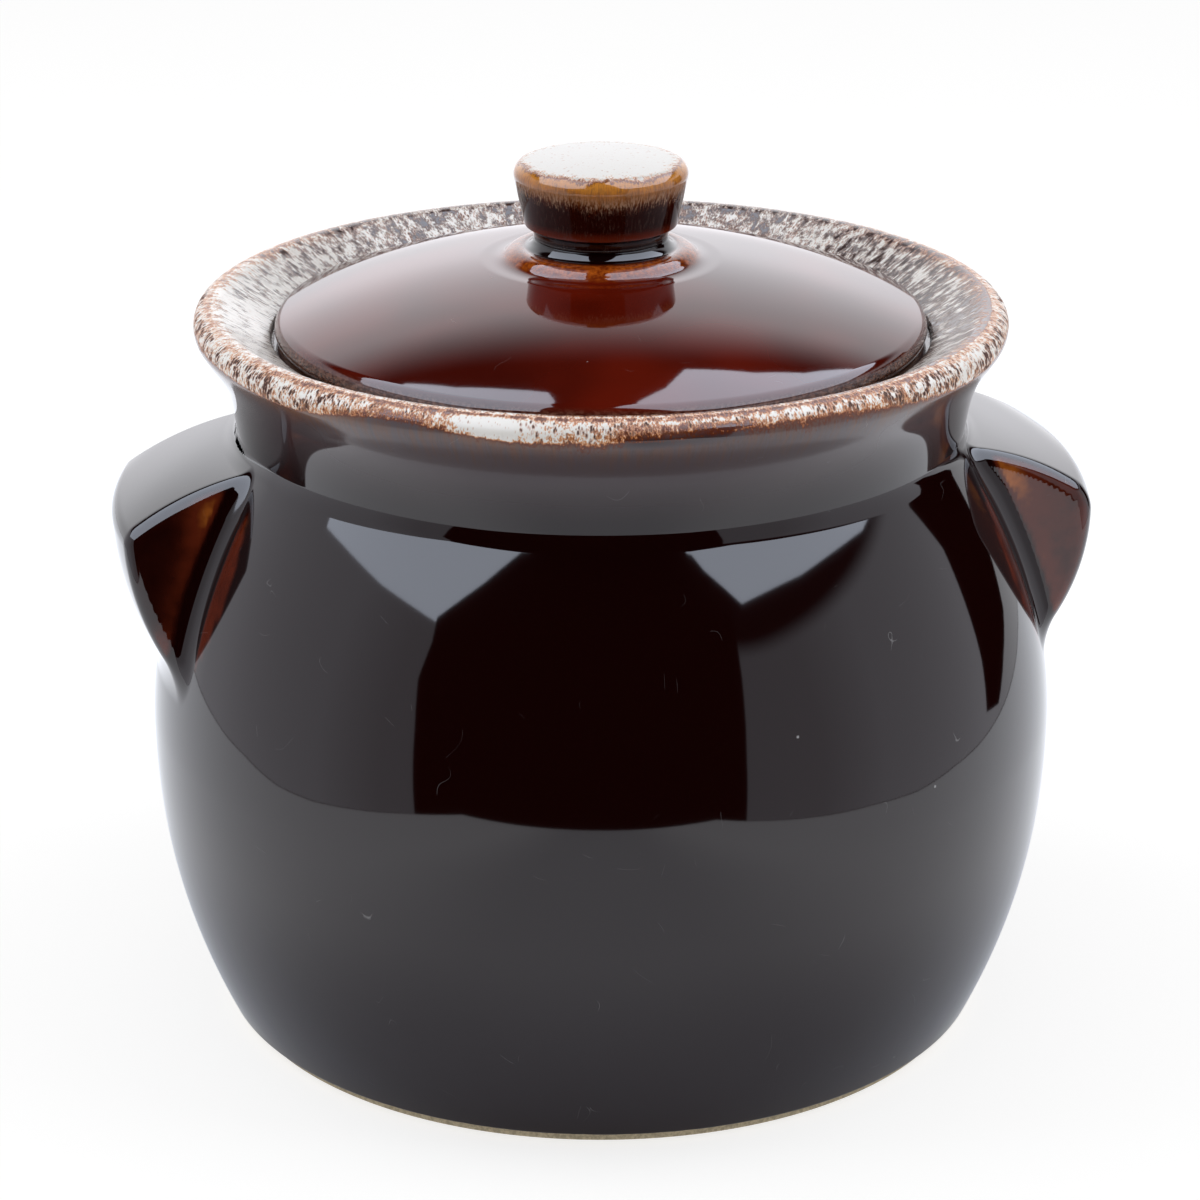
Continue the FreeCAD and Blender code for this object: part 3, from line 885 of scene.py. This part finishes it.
def lugThinness(points, normals, shape):
    # the glaze runs thin on the flat sides, but not in the joint
    side = step(np.abs(normals[:, 1]), 0.55, 0.9)
    radius, height = np.hypot(points[:, 0], points[:, 1]), points[:, 2]
    out = potField(points)
    free = step(out, *(lug["joint"] + edge for edge in lug["jointEdge"]))
    spread = lug["thinSpread"]
    corner = hump(height, lug["thinCorner"][1], spread) * hump(radius, lug["thinCorner"][0], spread)
    places = (corner, hump(out, lug["thinWall"], 2.4), hump(height, lug["thinLow"], spread))
    thin = shape["thin"]
    for share, place in zip(lug["thinShares"], places):
        thin = thin + share * place
    return side * free * thin


def lugPiece(name, side, material, shape):
    start = np.array(lug["rayStart"])
    across = np.linspace(-lug["raySides"], lug["raySides"], lug["columns"])
    upward = np.linspace(lug["rayDown"], lug["rayUp"], lug["rows"])
    ways = np.stack(np.meshgrid(np.ones(1), across, upward, indexing="ij"), -1)[0]
    ways = ways / np.linalg.norm(ways, axis=-1, keepdims=True)
    level = np.zeros(ways.shape[:2])
    for _ in range(3):
        near, far = (np.full(ways.shape[:2], length) for length in lug["rayLengths"])
        for _ in range(34):
            middle = (near + far) / 2
            outside = lugForm(start + ways * middle[..., None], shape) > level
            near, far = np.where(outside, near, middle), np.where(outside, middle, far)
        spots = start + ways * near[..., None]
        past = np.clip((lugField(spots, shape) - lugJoint(spots)) / lug["skirt"], 0, 1)
        level = lug["stand"] - lug["sink"] * past ** 2 * (3 - 2 * past)
    normals = np.stack([lugForm(spots + move, shape) - lugForm(spots - move, shape)
                        for move in np.eye(3) * 0.3], -1)
    normals = normals / np.linalg.norm(normals, axis=-1, keepdims=True)
    # trimmed where it has died into the wall
    kept = lugField(spots, shape) < lugJoint(spots) + lug["skirt"]
    number = -np.ones(kept.shape, int)
    number[kept] = np.arange(kept.sum())
    faces, edges = [], {}
    for i in range(lug["columns"] - 1):
        for j in range(lug["rows"] - 1):
            face = (number[i, j], number[i + 1, j], number[i + 1, j + 1], number[i, j + 1])
            if min(face) >= 0:
                faces.append(face)
                for a, b in zip(face, face[1:] + face[:1]):
                    edges[(a, b)] = edges.get((a, b), 0) + 1
    points, normals = spots[kept], normals[kept]
    thin = np.append(lugThinness(points, normals, shape), 0.0)
    # closed inside the wall, with one point for all the open edges
    faces += [(b, a, len(points)) for a, b in edges if (b, a) not in edges]
    points = np.vstack([points, lug["backPoint"]])
    normals = np.vstack([normals, [-1.0, 0.0, 0.0]])
    if side < 0:
        points, normals = points * (-1, 1, 1), normals * (-1, 1, 1)
        faces = [tuple(reversed(face)) for face in faces]
    used = sorted({v for face in faces for v in face})
    renumber = {v: k for k, v in enumerate(used)}
    faces = [tuple(renumber[v] for v in face) for face in faces]
    points, normals, thin = points[used], normals[used], thin[used]
    none = np.zeros(len(points))
    marks = {"glazePlace": points, "thin": thin, "cover": none - 1, "bare": none - 5}
    marks.update({label: none for label in ("warm", "long", "pits", "soft", "haze")})
    return finishMesh(name, points, faces, normals, marks, material)


for name, node, side, shape in (("rightHandle", "right_handle", 1, rightLug),
                                ("leftHandle", "left_handle", -1, leftLug)):
    handle = lugPiece(name, side, potMaterial, shape)
    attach(handle, "pot")
    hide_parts(node)
print("lugs made")


lidGlaze = {
    "thick": (0.050, 0.0032, 0.0010, 1), "bright": (0.110, 0.0070, 0.0018, 1),
    "beadAmber": (0.54, 0.125, 0.011, 1),
    # painted reflection: the speckled band on the rolled edge stands for the flare's pale froth
    # mirrored in it
    "paintedReflectionDark": (0.040, 0.012, 0.007, 1), "paintedReflectionSpeck": (0.16, 0.075, 0.050, 1),
    "dust": (0.45, 0.36, 0.34, 1), "clay": (0.44, 0.36, 0.25, 1),
    "dustAmount": 1.3, "gloss": 0.04, "dustGloss": 0.35, "clayRoughness": 0.85,
}
knobGlaze = {
    "stem": (0.006, 0.0010, 0.0008, 1), "edgeRed": (0.12, 0.016, 0.005, 1),
    "cream": (0.60, 0.588, 0.562, 1), "speck": (0.34, 0.16, 0.09, 1),
    "tan": [(0.27, 0.12, 0.045, 1), (0.54, 0.37, 0.25, 1)],
    # the side's colour by the run outward from the middle of the top, as shares of runLength
    "runLength": 40.0,
    "side": [(0.0, (0.46, 0.17, 0.024)), (0.42, (0.60, 0.24, 0.036)), (0.46, (0.44, 0.15, 0.024)),
             (0.49, (0.19, 0.058, 0.013)), (0.52, (0.055, 0.010, 0.003)),
             (0.56, (0.015, 0.0018, 0.0008)), (0.80, (0.009, 0.0008, 0.0005))],
    # outward, in mm: the cream thins out over the top and ends; the fringe begins and ends
    "creamTop": (11.5, 16.0, 1.25, 0.62), "creamEdge": (14.8, 17.4, 0.0, -1.1),
    "tanFringe": (16.8, 20.0, 18.8, 21.8),
    "redEdge": (26.0, 28.6), "stemEdge": (28.8, 29.6),
    "dustAmount": 0.4, "gloss": 0.06, "frothGloss": 0.25, "frothHeight": 0.6,
}


def makeLidGlaze():
    material, tree, shader = glazeMaterial("lidGlaze")
    place = objectPlace(tree)
    ring = meshMark(tree, "glazePlace", "Vector")
    surface = placeGroup(tree, skin, {"Place": place, "Dust": lidGlaze["dustAmount"]})
    cloud = ease(tree, noise(tree, place, 0.03, 2.0), 0.35, 0.65)
    body = mixed(tree, cloud, lidGlaze["thick"], lidGlaze["bright"])
    mottle = ease(tree, noise(tree, place, 0.9, 4.0, 0.7), 0.34, 0.70, 0.10, 0.85)
    bead = times(tree, meshMark(tree, "bead"), mottle, clamp=True)
    body = mixed(tree, bead, body, lidGlaze["beadAmber"])
    body = mixed(tree, meshMark(tree, "cove"), body, knobGlaze["stem"])
    # painted reflection: a speckled band on the rolled edge, the mark "edge", stands for the
    # flare's froth mirrored there
    paintedReflectionSpecks = ease(tree, noise(tree, ring, 1.6, 3.0, 0.7), 0.42, 0.62)
    paintedReflectionBand = mixed(tree, paintedReflectionSpecks, lidGlaze["paintedReflectionDark"], lidGlaze["paintedReflectionSpeck"])
    body = mixed(tree, meshMark(tree, "edge"), body, paintedReflectionBand)
    body = mixed(tree, times(tree, surface["Dust"], 0.35), body, lidGlaze["dust"])
    bare = ease(tree, meshMark(tree, "bare"), -0.1, 0.15)
    clay = placeGroup(tree, bareClay, {"Place": place, "Color": lidGlaze["clay"]})
    gloss = add(tree, lidGlaze["gloss"], times(tree, surface["Dust"], lidGlaze["dustGloss"]))
    finishGlaze(tree, shader, mixed(tree, bare, body, clay["Color"]),
                between(tree, bare, gloss, lidGlaze["clayRoughness"]),
                add(tree, surface["Height"], times(tree, clay["Height"], bare)))
    return material


def makeKnobGlaze():
    material, tree, shader = glazeMaterial("knobGlaze")
    ring = meshMark(tree, "glazePlace", "Vector")
    surface = placeGroup(tree, skin, {"Place": objectPlace(tree), "Dust": knobGlaze["dustAmount"]})
    out = meshMark(tree, "out")   # mm outward from the middle of the top, then down the side
    reach = add(tree, out, swung(tree, noise(tree, ring, 0.12, 1.0), 3.0))
    streaks = noise(tree, stretched(tree, ring, 2.2, 0.4), 1.0, 3.0, 0.65)
    run = add(tree, reach, swung(tree, streaks, 3.0))
    side = shades(tree, calc(tree, "DIVIDE", run, knobGlaze["runLength"]), knobGlaze["side"])
    side = mixed(tree, ease(tree, out, *knobGlaze["redEdge"]), side, knobGlaze["edgeRed"])
    side = mixed(tree, ease(tree, out, *knobGlaze["stemEdge"]), side, knobGlaze["stem"])
    # the froth covers the top, frays over its edge and fades in fine tan streaks down the side
    top = add(tree, ease(tree, reach, *knobGlaze["creamTop"]),
              ease(tree, reach, *knobGlaze["creamEdge"]))
    hairs = noise(tree, stretched(tree, ring, 3.0, 0.75), 1.0, 3.0, 0.7)
    frayed = add(tree, reach, swung(tree, hairs, -9.0))
    fringe = times(tree, ease(tree, frayed, *knobGlaze["tanFringe"][:2]),
                   ease(tree, frayed, *knobGlaze["tanFringe"][2:], 1.0, 0.0))
    tan = mixed(tree, ease(tree, hairs, 0.40, 0.68), *knobGlaze["tan"])
    side = mixed(tree, times(tree, fringe, 0.85), side, tan)
    froth = placeGroup(tree, glazeBreak, {
        "Place": ring, "Cover": top, "Dark": side, "Pale": knobGlaze["cream"], "Warm": 0.9,
        "Long": ease(tree, out, 14.0, 17.0, 0.0, 0.35), "Soft": 0.4, "Grain": 1.7})
    rare = ease(tree, noise(tree, ring, 0.4, 2.0), 0.42, 0.65, 0.0, 0.26)
    speck = times(tree, calc(tree, "LESS_THAN", cells(tree, ring, 0.75), rare), 0.7)
    finishGlaze(tree, shader,
                mixed(tree, times(tree, speck, froth["Pale"]), froth["Color"], knobGlaze["speck"]),
                add(tree, knobGlaze["gloss"], times(tree, froth["Pale"], knobGlaze["frothGloss"])),
                add(tree, surface["Height"],
                    times(tree, froth["Height"], knobGlaze["frothHeight"])))
    return material


lidMaterial, knobMaterial = makeLidGlaze(), makeKnobGlaze()
print("lid and knob glazes made")

# The lid: a dome with a rolled edge, a flange that drops inside the ledge, and a raised bead round
# the place where the knob is joined. The knob has a stem and a flat-topped button head.

lid = {
    "clearance": 0.9, "edgeRoll": 2.8, "crownRise": 17.35, "thickness": 6.0,
    "flangeClearance": 0.8, "flangeWidth": 4.6, "flangeDepth": 8.0, "flangeEdge": 1.2,
    "beadRadius": 18.6, "beadBlend": 5.2,     # the bead's outside, and its fade into the dome
    "beadOnDome": 16.0, "beadDrop": 2.46,     # its centre lies this deep under the dome there
    "beadCentre": 15.6, "beadRoll": 4.0, "beadTurnOut": 42.0, "beadTurnIn": 98.0,
    "joinStand": 3.4,                         # the knob's foot above the dome's surface
    "amberTurn": 66, "amberWidth": 2.4,       # where on the bead the glaze is thin
    "coveFrom": 3.0, "coveTo": 2.2,           # the dark cove ends this far inside that place
    "paintedReflectionLow": 0.6, "paintedReflectionWidth": 2.2,         # painted reflection of the flare's froth, a speckled band on the rolled edge
    "bareSeat": 0.8, "bareFoot": 1.0,         # the bare clay reaches this far past seat and foot
    "segments": 320, "ringSize": 40.0,
}
knob = {
    "stemRadius": 13.1, "stemHeight": 2.4, "bottomRadius": 14.9, "topRadius": 16.9,
    "height": 15.0, "underRound": 0.6, "edgeRound": 2.6, "crown": 0.5,
    "footFlare": (0.15, -1),                  # the way the stem meets the lid
    "sink": 0.25, "sinkInset": 0.06, "overlap": 0.3, "ringSize": 16.0,
}


def cap(rollCentre, roll, crownHeight):
    # centre, radius and end angle of the dome that touches a rolled edge
    rise = crownHeight - rollCentre[1]
    size = (rollCentre[0] ** 2 + rise ** 2 - roll ** 2) / (2 * (rise - roll))
    centre = (0.0, crownHeight - size)
    return centre, size, math.degrees(math.atan2(rollCentre[1] - centre[1], rollCentre[0]))


lidRoll = (galleryRadius - lid["clearance"] - lid["edgeRoll"], galleryHeight + lid["edgeRoll"])
domeCentre, domeRadius, domeMeet = cap(lidRoll, lid["edgeRoll"], galleryHeight + lid["crownRise"])


def onDome(radius, inset=0.0):
    return (radius, domeCentre[1] + math.sqrt((domeRadius - inset) ** 2 - radius ** 2))


def domeTurn(spot):
    return math.degrees(math.atan2(spot[1] - domeCentre[1], spot[0]))


domeHeight = onDome(lid["beadOnDome"])[1]
beadCentre = (lid["beadCentre"], domeHeight - lid["beadDrop"])
joinHeight = domeHeight + lid["joinStand"]


def lidOutline():
    hollow = onDome(lid["beadRadius"] + lid["beadBlend"])
    flangeRadius = mouthRadius - lid["flangeClearance"]
    foot = galleryHeight - lid["flangeDepth"]
    size = lid["flangeEdge"]
    outerRound = (flangeRadius - size, foot + size)
    innerRound = (flangeRadius - lid["flangeWidth"] + size, foot + size)
    under = onDome(flangeRadius - lid["flangeWidth"], lid["thickness"])
    beadTop = onCircle(beadCentre, lid["beadRoll"], lid["beadTurnIn"])
    beadOut = onCircle(beadCentre, lid["beadRoll"], lid["beadTurnOut"])
    return joinRuns(
        lineRun((0, joinHeight), (knob["stemRadius"] - knob["overlap"], joinHeight), 2),
        curveRun([(knob["stemRadius"], joinHeight), beadTop], knob["footFlare"],
                 clockwise(lid["beadTurnIn"]), 16),
        arcRun(beadCentre, lid["beadRoll"], lid["beadTurnIn"], lid["beadTurnOut"], 24),
        curveRun([beadOut, hollow], clockwise(lid["beadTurnOut"]), clockwise(domeTurn(hollow)), 14),
        arcRun(domeCentre, domeRadius, domeTurn(hollow), domeMeet, 50),
        arcRun(lidRoll, lid["edgeRoll"], domeMeet, -90, 22),
        lineRun((lidRoll[0], galleryHeight), (flangeRadius, galleryHeight), 2),
        lineRun((flangeRadius, galleryHeight), (flangeRadius, outerRound[1]), 3),
        arcRun(outerRound, size, 0, -90, 8),
        lineRun((outerRound[0], foot), (innerRound[0], foot)),
        arcRun(innerRound, size, -90, -180, 8),
        lineRun((innerRound[0] - size, innerRound[1]), under, 3),
        arcRun(domeCentre, domeRadius - lid["thickness"], domeTurn(under), 90, 24),
    )


def knobOutline():
    top = joinHeight + knob["height"]
    under = (knob["bottomRadius"] - knob["underRound"],
             joinHeight + knob["stemHeight"] + knob["underRound"])
    edge = (knob["topRadius"] - knob["edgeRound"], top - knob["edgeRound"])
    side = (edge[0] - under[0], edge[1] - under[1])
    lean = math.degrees(math.atan2(side[1], side[0])
                        - math.acos((knob["underRound"] - knob["edgeRound"]) / math.hypot(*side)))
    crownCentre, crownSize, crownMeet = cap(edge, knob["edgeRound"], top + knob["crown"])
    stemFoot = (knob["stemRadius"], joinHeight)
    sunk = (knob["stemRadius"] - knob["sinkInset"], joinHeight - knob["sink"])
    return joinRuns(
        arcRun(crownCentre, crownSize, 90, crownMeet, 14),
        arcRun(edge, knob["edgeRound"], crownMeet, lean, 20),
        lineRun(onCircle(edge, knob["edgeRound"], lean),
                onCircle(under, knob["underRound"], lean), 16),
        arcRun(under, knob["underRound"], lean, -90, 8),
        curveRun([(under[0], under[1] - knob["underRound"]), stemFoot],
                 (-1, 0), knob["footFlare"], 12),
        lineRun(stemFoot, sunk),
        lineRun((sunk[0] - knob["overlap"], sunk[1]), (0, sunk[1]), 2),
    )


def lidMarks(outline):
    run = followed(outline)

    def runAt(radius, height):
        return run[np.argmin(np.hypot(outline[:, 0] - radius, outline[:, 1] - height))]

    amber = runAt(*onCircle(beadCentre, lid["beadRoll"], lid["amberTurn"]))
    seat = runAt(lidRoll[0], galleryHeight)
    paintedReflectionBand = seat - math.radians(90) * lid["edgeRoll"] + lid["paintedReflectionLow"]
    foot = run[np.argmin(outline[:, 1])]
    return {
        "bead": lambda run, angles: hump(run, amber, lid["amberWidth"], 4) + 0 * angles,
        "cove": lambda run, angles: 1 - step(run, amber - lid["coveFrom"], amber - lid["coveTo"]),
        # the mark "edge" places the painted reflection of the flare's froth on the rolled edge
        "edge": lambda run, angles: hump(run, paintedReflectionBand, lid["paintedReflectionWidth"], 4) + 0 * angles,
        "bare": lambda run, angles: np.minimum(run - seat + lid["bareSeat"],
                                               foot - run + lid["bareFoot"]) + 0 * angles,
    }


lidLine = lidOutline()
lidPiece = turnedPiece("lid.dome", lidLine, lid["segments"], lidMaterial, lid["ringSize"],
                       lidMarks(lidLine))
knobPiece = turnedPiece("lid.knob", knobOutline(), lid["segments"], knobMaterial, knob["ringSize"],
                        {"out": lambda run, angles: run + 0 * angles})
for piece, node, finish in ((lidPiece, "lid", "lid_glaze"), (knobPiece, "knob", "knob_glaze")):
    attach(piece, "lid")
    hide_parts(node)
print("lid and knob made")


# The studio, in metres right of the pot, away from the view and up. The glaze mirrors it.

studio = {
    "worldLight": 0.5,
    "lampLight": 1.7, "lampSize": (0.8, 0.9), "lampHeight": 0.85, "lampAim": 0.08,
    "lamps": {"lampLeft": (-0.75, 0.05), "lampRight": (0.75, -0.05)},
    "floorColour": (0.40, 0.40, 0.40), "floorHalf": 4, "floorLift": 0.72, "floorBounce": 0.5,
    "softboxColour": (0.79, 0.86, 1.0), "softboxStrength": 5.5, "softboxHeight": 0.71,
    # the bright sheet glows more to the sides and away from the pot; these distances are in mm
    "paperColour": (0.83, 0.88, 0.99), "paperSides": 0.36, "paperSideReach": (45.0, 170.0),
    "paperAway": (0.05, 0.34), "paperAwayReach": (85.0, 150.0),
    "paperHeight": 0.0004, "paperEdgeHeight": 0.0002, "paperEdge": 1.012,
    "doorAway": -0.75,
    # the dark roof's soft edge: its height in front, the rise towards the back, how late it comes
    "roofLow": (0.44, 0.16, 6.0), "roofHigh": (0.50, 0.30, 3.0), "roofRightDrop": 0.11,
    "roofColour": (0.012, 0.012, 0.014, 1), "footShade": 0.66, "rightShade": 0.86,
}
viewCamera = {"sensor": 36.0, "lens": 113.65, "place": (-0.08675, -0.7065, 0.3505),
              "tilt": 20.706, "aside": 0.015}
# corners of the lamps' lit cloths, right of the pot and away
softboxOutlines = {
    "softboxLeft": [(-0.32, -0.79), (-0.61, -0.875), (-1.03, -0.98), (-1.29, -0.595),
                    (-1.48, -0.195), (-1.585, 0.0), (-0.73, 0.19), (-0.262, 0.433),
                    (-0.187, 0.358), (-0.12, 0.316), (-0.066, 0.289), (-0.058, 0.262),
                    (-0.10, -0.117)],
    "softboxRight": [(0.395, -0.772), (0.027, -0.128), (0.045, 0.255), (0.081, 0.307),
                     (0.107, 0.384), (0.2, 0.424), (0.275, 0.492), (0.362, 0.623), (0.55, 0.62),
                     (1.5, 0.15), (1.454, -0.117), (1.243, -0.408), (1.089, -0.619),
                     (0.779, -0.91), (0.482, -0.814)],
}
# the bright sheet under the pot, right and away
paperOutline = [(-0.316, -0.342), (-0.30, -0.50), (-0.067, -0.512), (0.24, -0.505), (0.257, -0.412),
                (0.299, -0.237), (0.317, -0.167), (0.321, -0.092), (0.347, -0.023), (0.357, 0.046),
                (0.40, 0.30), (0.42, 0.80), (-0.50, 0.80), (-0.46, 0.30), (-0.427, 0.103),
                (-0.39, -0.008), (-0.333, -0.082), (-0.315, -0.143), (-0.316, -0.222)]
# the dark doorway in front, right and up
doorOutline = [(-0.71, -0.15), (-0.76, 0.21), (-0.80, 0.37), (-0.76, 0.49), (-0.77, 0.57),
               (-0.52, 0.64), (-0.30, 0.73), (0.38, 0.73), (0.46, 0.67), (0.62, 0.60),
               (0.55, 0.55), (0.55, 0.47), (0.54, 0.36), (0.51, 0.13), (0.49, -0.15)]
# the dark gap between the tent and the sheet, right, away and up
gapOutline = [(1.137, 0.380, -0.135), (1.074, 0.490, -0.152), (1.013, 0.598, -0.080),
              (0.949, 0.710, -0.030), (0.922, 0.757, 0.040), (0.922, 0.757, 0.450),
              (1.180, 0.305, 0.450), (1.128, 0.395, 0.280), (1.124, 0.402, 0.0)]
# brightness of the tent's walls, from those in front at 0 to those at the back at 1
tentWalls = [(0.0, (0.64, 0.65, 0.72)), (0.22, (0.70, 0.71, 0.78)), (0.36, (0.98, 1.00, 1.10)),
             (0.74, (1.05, 1.06, 1.15)), (0.90, (1.75, 1.78, 1.85)), (0.98, (2.25, 2.25, 2.35))]
white, black = (1, 1, 1), (0, 0, 0)


def viewSpot(right, away, up):
    turn = math.radians(frontTurn + 90)
    return (right * math.cos(turn) - away * math.sin(turn),
            right * math.sin(turn) + away * math.cos(turn), up)


def stagePiece(name, corners, material):
    mesh = bpy.data.meshes.new(name)
    mesh.from_pydata(corners, [], [tuple(range(len(corners)))])
    mesh.materials.append(material)
    piece = bpy.data.objects.new(name, mesh)
    bpy.context.scene.collection.objects.link(piece)
    return piece


def reflectedPiece(name, corners, material):
    # seen in the glaze, and nowhere else
    piece = stagePiece(name, corners, material)
    for ray in ("camera", "diffuse", "transmission", "volume_scatter", "shadow"):
        setattr(piece, f"visible_{ray}", False)


def glowMaterial(name, colour, strength):
    material, tree = emptyMaterial(name)
    glow = put(tree, "ShaderNodeEmission", {"Color": (*colour, 1), "Strength": strength})
    showSurface(tree, glow)
    return material


def paperMaterial(name, colour, glowing):
    # glowing gives the strength of the sheet's own light
    material, tree = emptyMaterial(name)
    sheet = put(tree, "ShaderNodeBsdfDiffuse", {"Color": (*colour, 1)})
    glow = put(tree, "ShaderNodeEmission", {"Strength": glowing(tree)})
    showSurface(tree, put(tree, "ShaderNodeAddShader", {0: sheet.outputs[0], 1: glow.outputs[0]}))
    return material


def floorGlow(tree):
    # the camera sees the floor lifted to white, with the shadow of the pot left on it
    seen = put(tree, "ShaderNodeLightPath").outputs["Is Camera Ray"]
    return ease(tree, seen, 0.0, 1.0, studio["floorBounce"], studio["floorLift"])


def alongWay(tree, vector, way):
    return vectorCalc(tree, "DOT_PRODUCT", "Value", {0: vector, 1: way})


def sheetGlow(tree):
    place = objectPlace(tree)
    aside = calc(tree, "ABSOLUTE", alongWay(tree, place, viewSpot(1, 0, 0)))
    away = vectorCalc(tree, "LENGTH", "Value", {0: place})
    return add(tree, ease(tree, aside, *studio["paperSideReach"], 0.0, studio["paperSides"]),
               ease(tree, away, *studio["paperAwayReach"], *studio["paperAway"]))


def roofEdge(tree, back, drop, edge):
    height, rise, late = edge
    level = calc(tree, "MULTIPLY_ADD", calc(tree, "POWER", back, late), rise, height)
    return less(tree, level, drop)


def makeWorld():
    # plain light on the pot, white for the camera, and a tent with a dark roof for the glaze
    world = bpy.data.worlds.new("studio")
    bpy.context.scene.world = world
    world.use_nodes = True
    tree = world.node_tree
    tree.nodes.clear()
    way = tree.nodes.new("ShaderNodeTexCoord").outputs["Generated"]
    away = alongWay(tree, way, viewSpot(0, 1, 0))
    up = put(tree, "ShaderNodeSeparateXYZ", {0: way}).outputs["Z"]
    level = calc(tree, "SQRT", less(tree, 1.0001, times(tree, up, up)))   # never 0
    back = calc(tree, "MAXIMUM", calc(tree, "DIVIDE", away, level), 0.0)
    right = calc(tree, "DIVIDE", alongWay(tree, way, viewSpot(1, 0, 0)), level)
    wall = shades(tree, calc(tree, "MULTIPLY_ADD", away, 0.5, 0.5), tentWalls)
    # the walls at the back are darker near the floor, most at the right
    foot = times(tree, ease(tree, up, -0.04, 0.26, studio["footShade"], 1.0),
                 ease(tree, right, 0.1, 0.6, 1.0, studio["rightShade"]))
    foot = calc(tree, "MULTIPLY_ADD", ease(tree, back, 0.3, 0.8), less(tree, foot, 1.0), 1.0)
    drop = ease(tree, right, 0.15, 0.75, 0.0, studio["roofRightDrop"])
    low = roofEdge(tree, back, drop, studio["roofLow"])
    high = roofEdge(tree, back, drop, studio["roofHigh"])
    roof = calc(tree, "DIVIDE", less(tree, up, low), less(tree, high, low))
    glossy = mixed(tree, ease(tree, roof, 0.0, 1.0), scaled(tree, wall, foot), studio["roofColour"])
    light = tree.nodes.new("ShaderNodeLightPath").outputs
    seen = mixed(tree, light["Is Glossy Ray"], (*[studio["worldLight"]] * 3, 1), glossy)
    for ray in ("Is Camera Ray", "Is Transmission Ray"):
        seen = mixed(tree, light[ray], seen, (*white, 1))
    showSurface(tree, put(tree, "ShaderNodeBackground", {"Color": seen}), "ShaderNodeOutputWorld")


def makeLamp(name, right, away):
    light = bpy.data.lights.new(name, "AREA")
    light.shape = "RECTANGLE"
    light.size, light.size_y = studio["lampSize"]
    light.energy = studio["lampLight"] * math.pi * light.size * light.size_y
    lamp = bpy.data.objects.new(name, light)
    bpy.context.scene.collection.objects.link(lamp)
    lamp.location = viewSpot(right, away, studio["lampHeight"])
    aim = np.array([0, 0, studio["lampAim"]]) - np.array(lamp.location)
    lamp.rotation_euler = (math.atan2(math.hypot(aim[0], aim[1]), -aim[2]), 0,
                           math.atan2(aim[1], aim[0]) - math.pi / 2)
    lamp.visible_glossy = False


def makeStudio():
    makeWorld()
    half = studio["floorHalf"]
    corners = [(-half, -half, 0), (half, -half, 0), (half, half, 0), (-half, half, 0)]
    floor = stagePiece("floor", corners,
                       paperMaterial("floorPaper", studio["floorColour"], floorGlow))
    floor.visible_glossy = False
    reflectedPiece("paperSeenInGlaze",
                   [viewSpot(x, y, studio["paperHeight"]) for x, y in paperOutline],
                   paperMaterial("brightPaper", studio["paperColour"], sheetGlow))
    edge, height = studio["paperEdge"], studio["paperEdgeHeight"]
    reflectedPiece("paperEdgeSeenInGlaze",
                   [viewSpot(edge * x, edge * y, height) for x, y in paperOutline],
                   glowMaterial("paperEdge", black, 0.0))
    for name, outline in softboxOutlines.items():
        reflectedPiece(name, [viewSpot(x, y, studio["softboxHeight"]) for x, y in outline],
                       glowMaterial(name, studio["softboxColour"], studio["softboxStrength"]))
    reflectedPiece("doorSeenInGlaze", [viewSpot(x, studio["doorAway"], z) for x, z in doorOutline],
                   glowMaterial("doorDark", black, 0.0))
    reflectedPiece("gapSeenInGlaze", [viewSpot(*corner) for corner in gapOutline],
                   glowMaterial("gapDark", black, 0.0))
    for name, place in studio["lamps"].items():
        makeLamp(name, *place)


def makeCamera():
    data = bpy.data.cameras.new("camera")
    data.sensor_width, data.lens = viewCamera["sensor"], viewCamera["lens"]
    camera = bpy.data.objects.new("camera", data)
    bpy.context.scene.collection.objects.link(camera)
    camera.location = viewCamera["place"]
    camera.rotation_euler = (math.radians(90 - viewCamera["tilt"]), 0,
                             math.radians(frontTurn + 90 + viewCamera["aside"]))
    bpy.context.scene.camera = camera


makeStudio()
makeCamera()
bpy.context.scene.view_settings.view_transform = "Standard"
print("studio made")
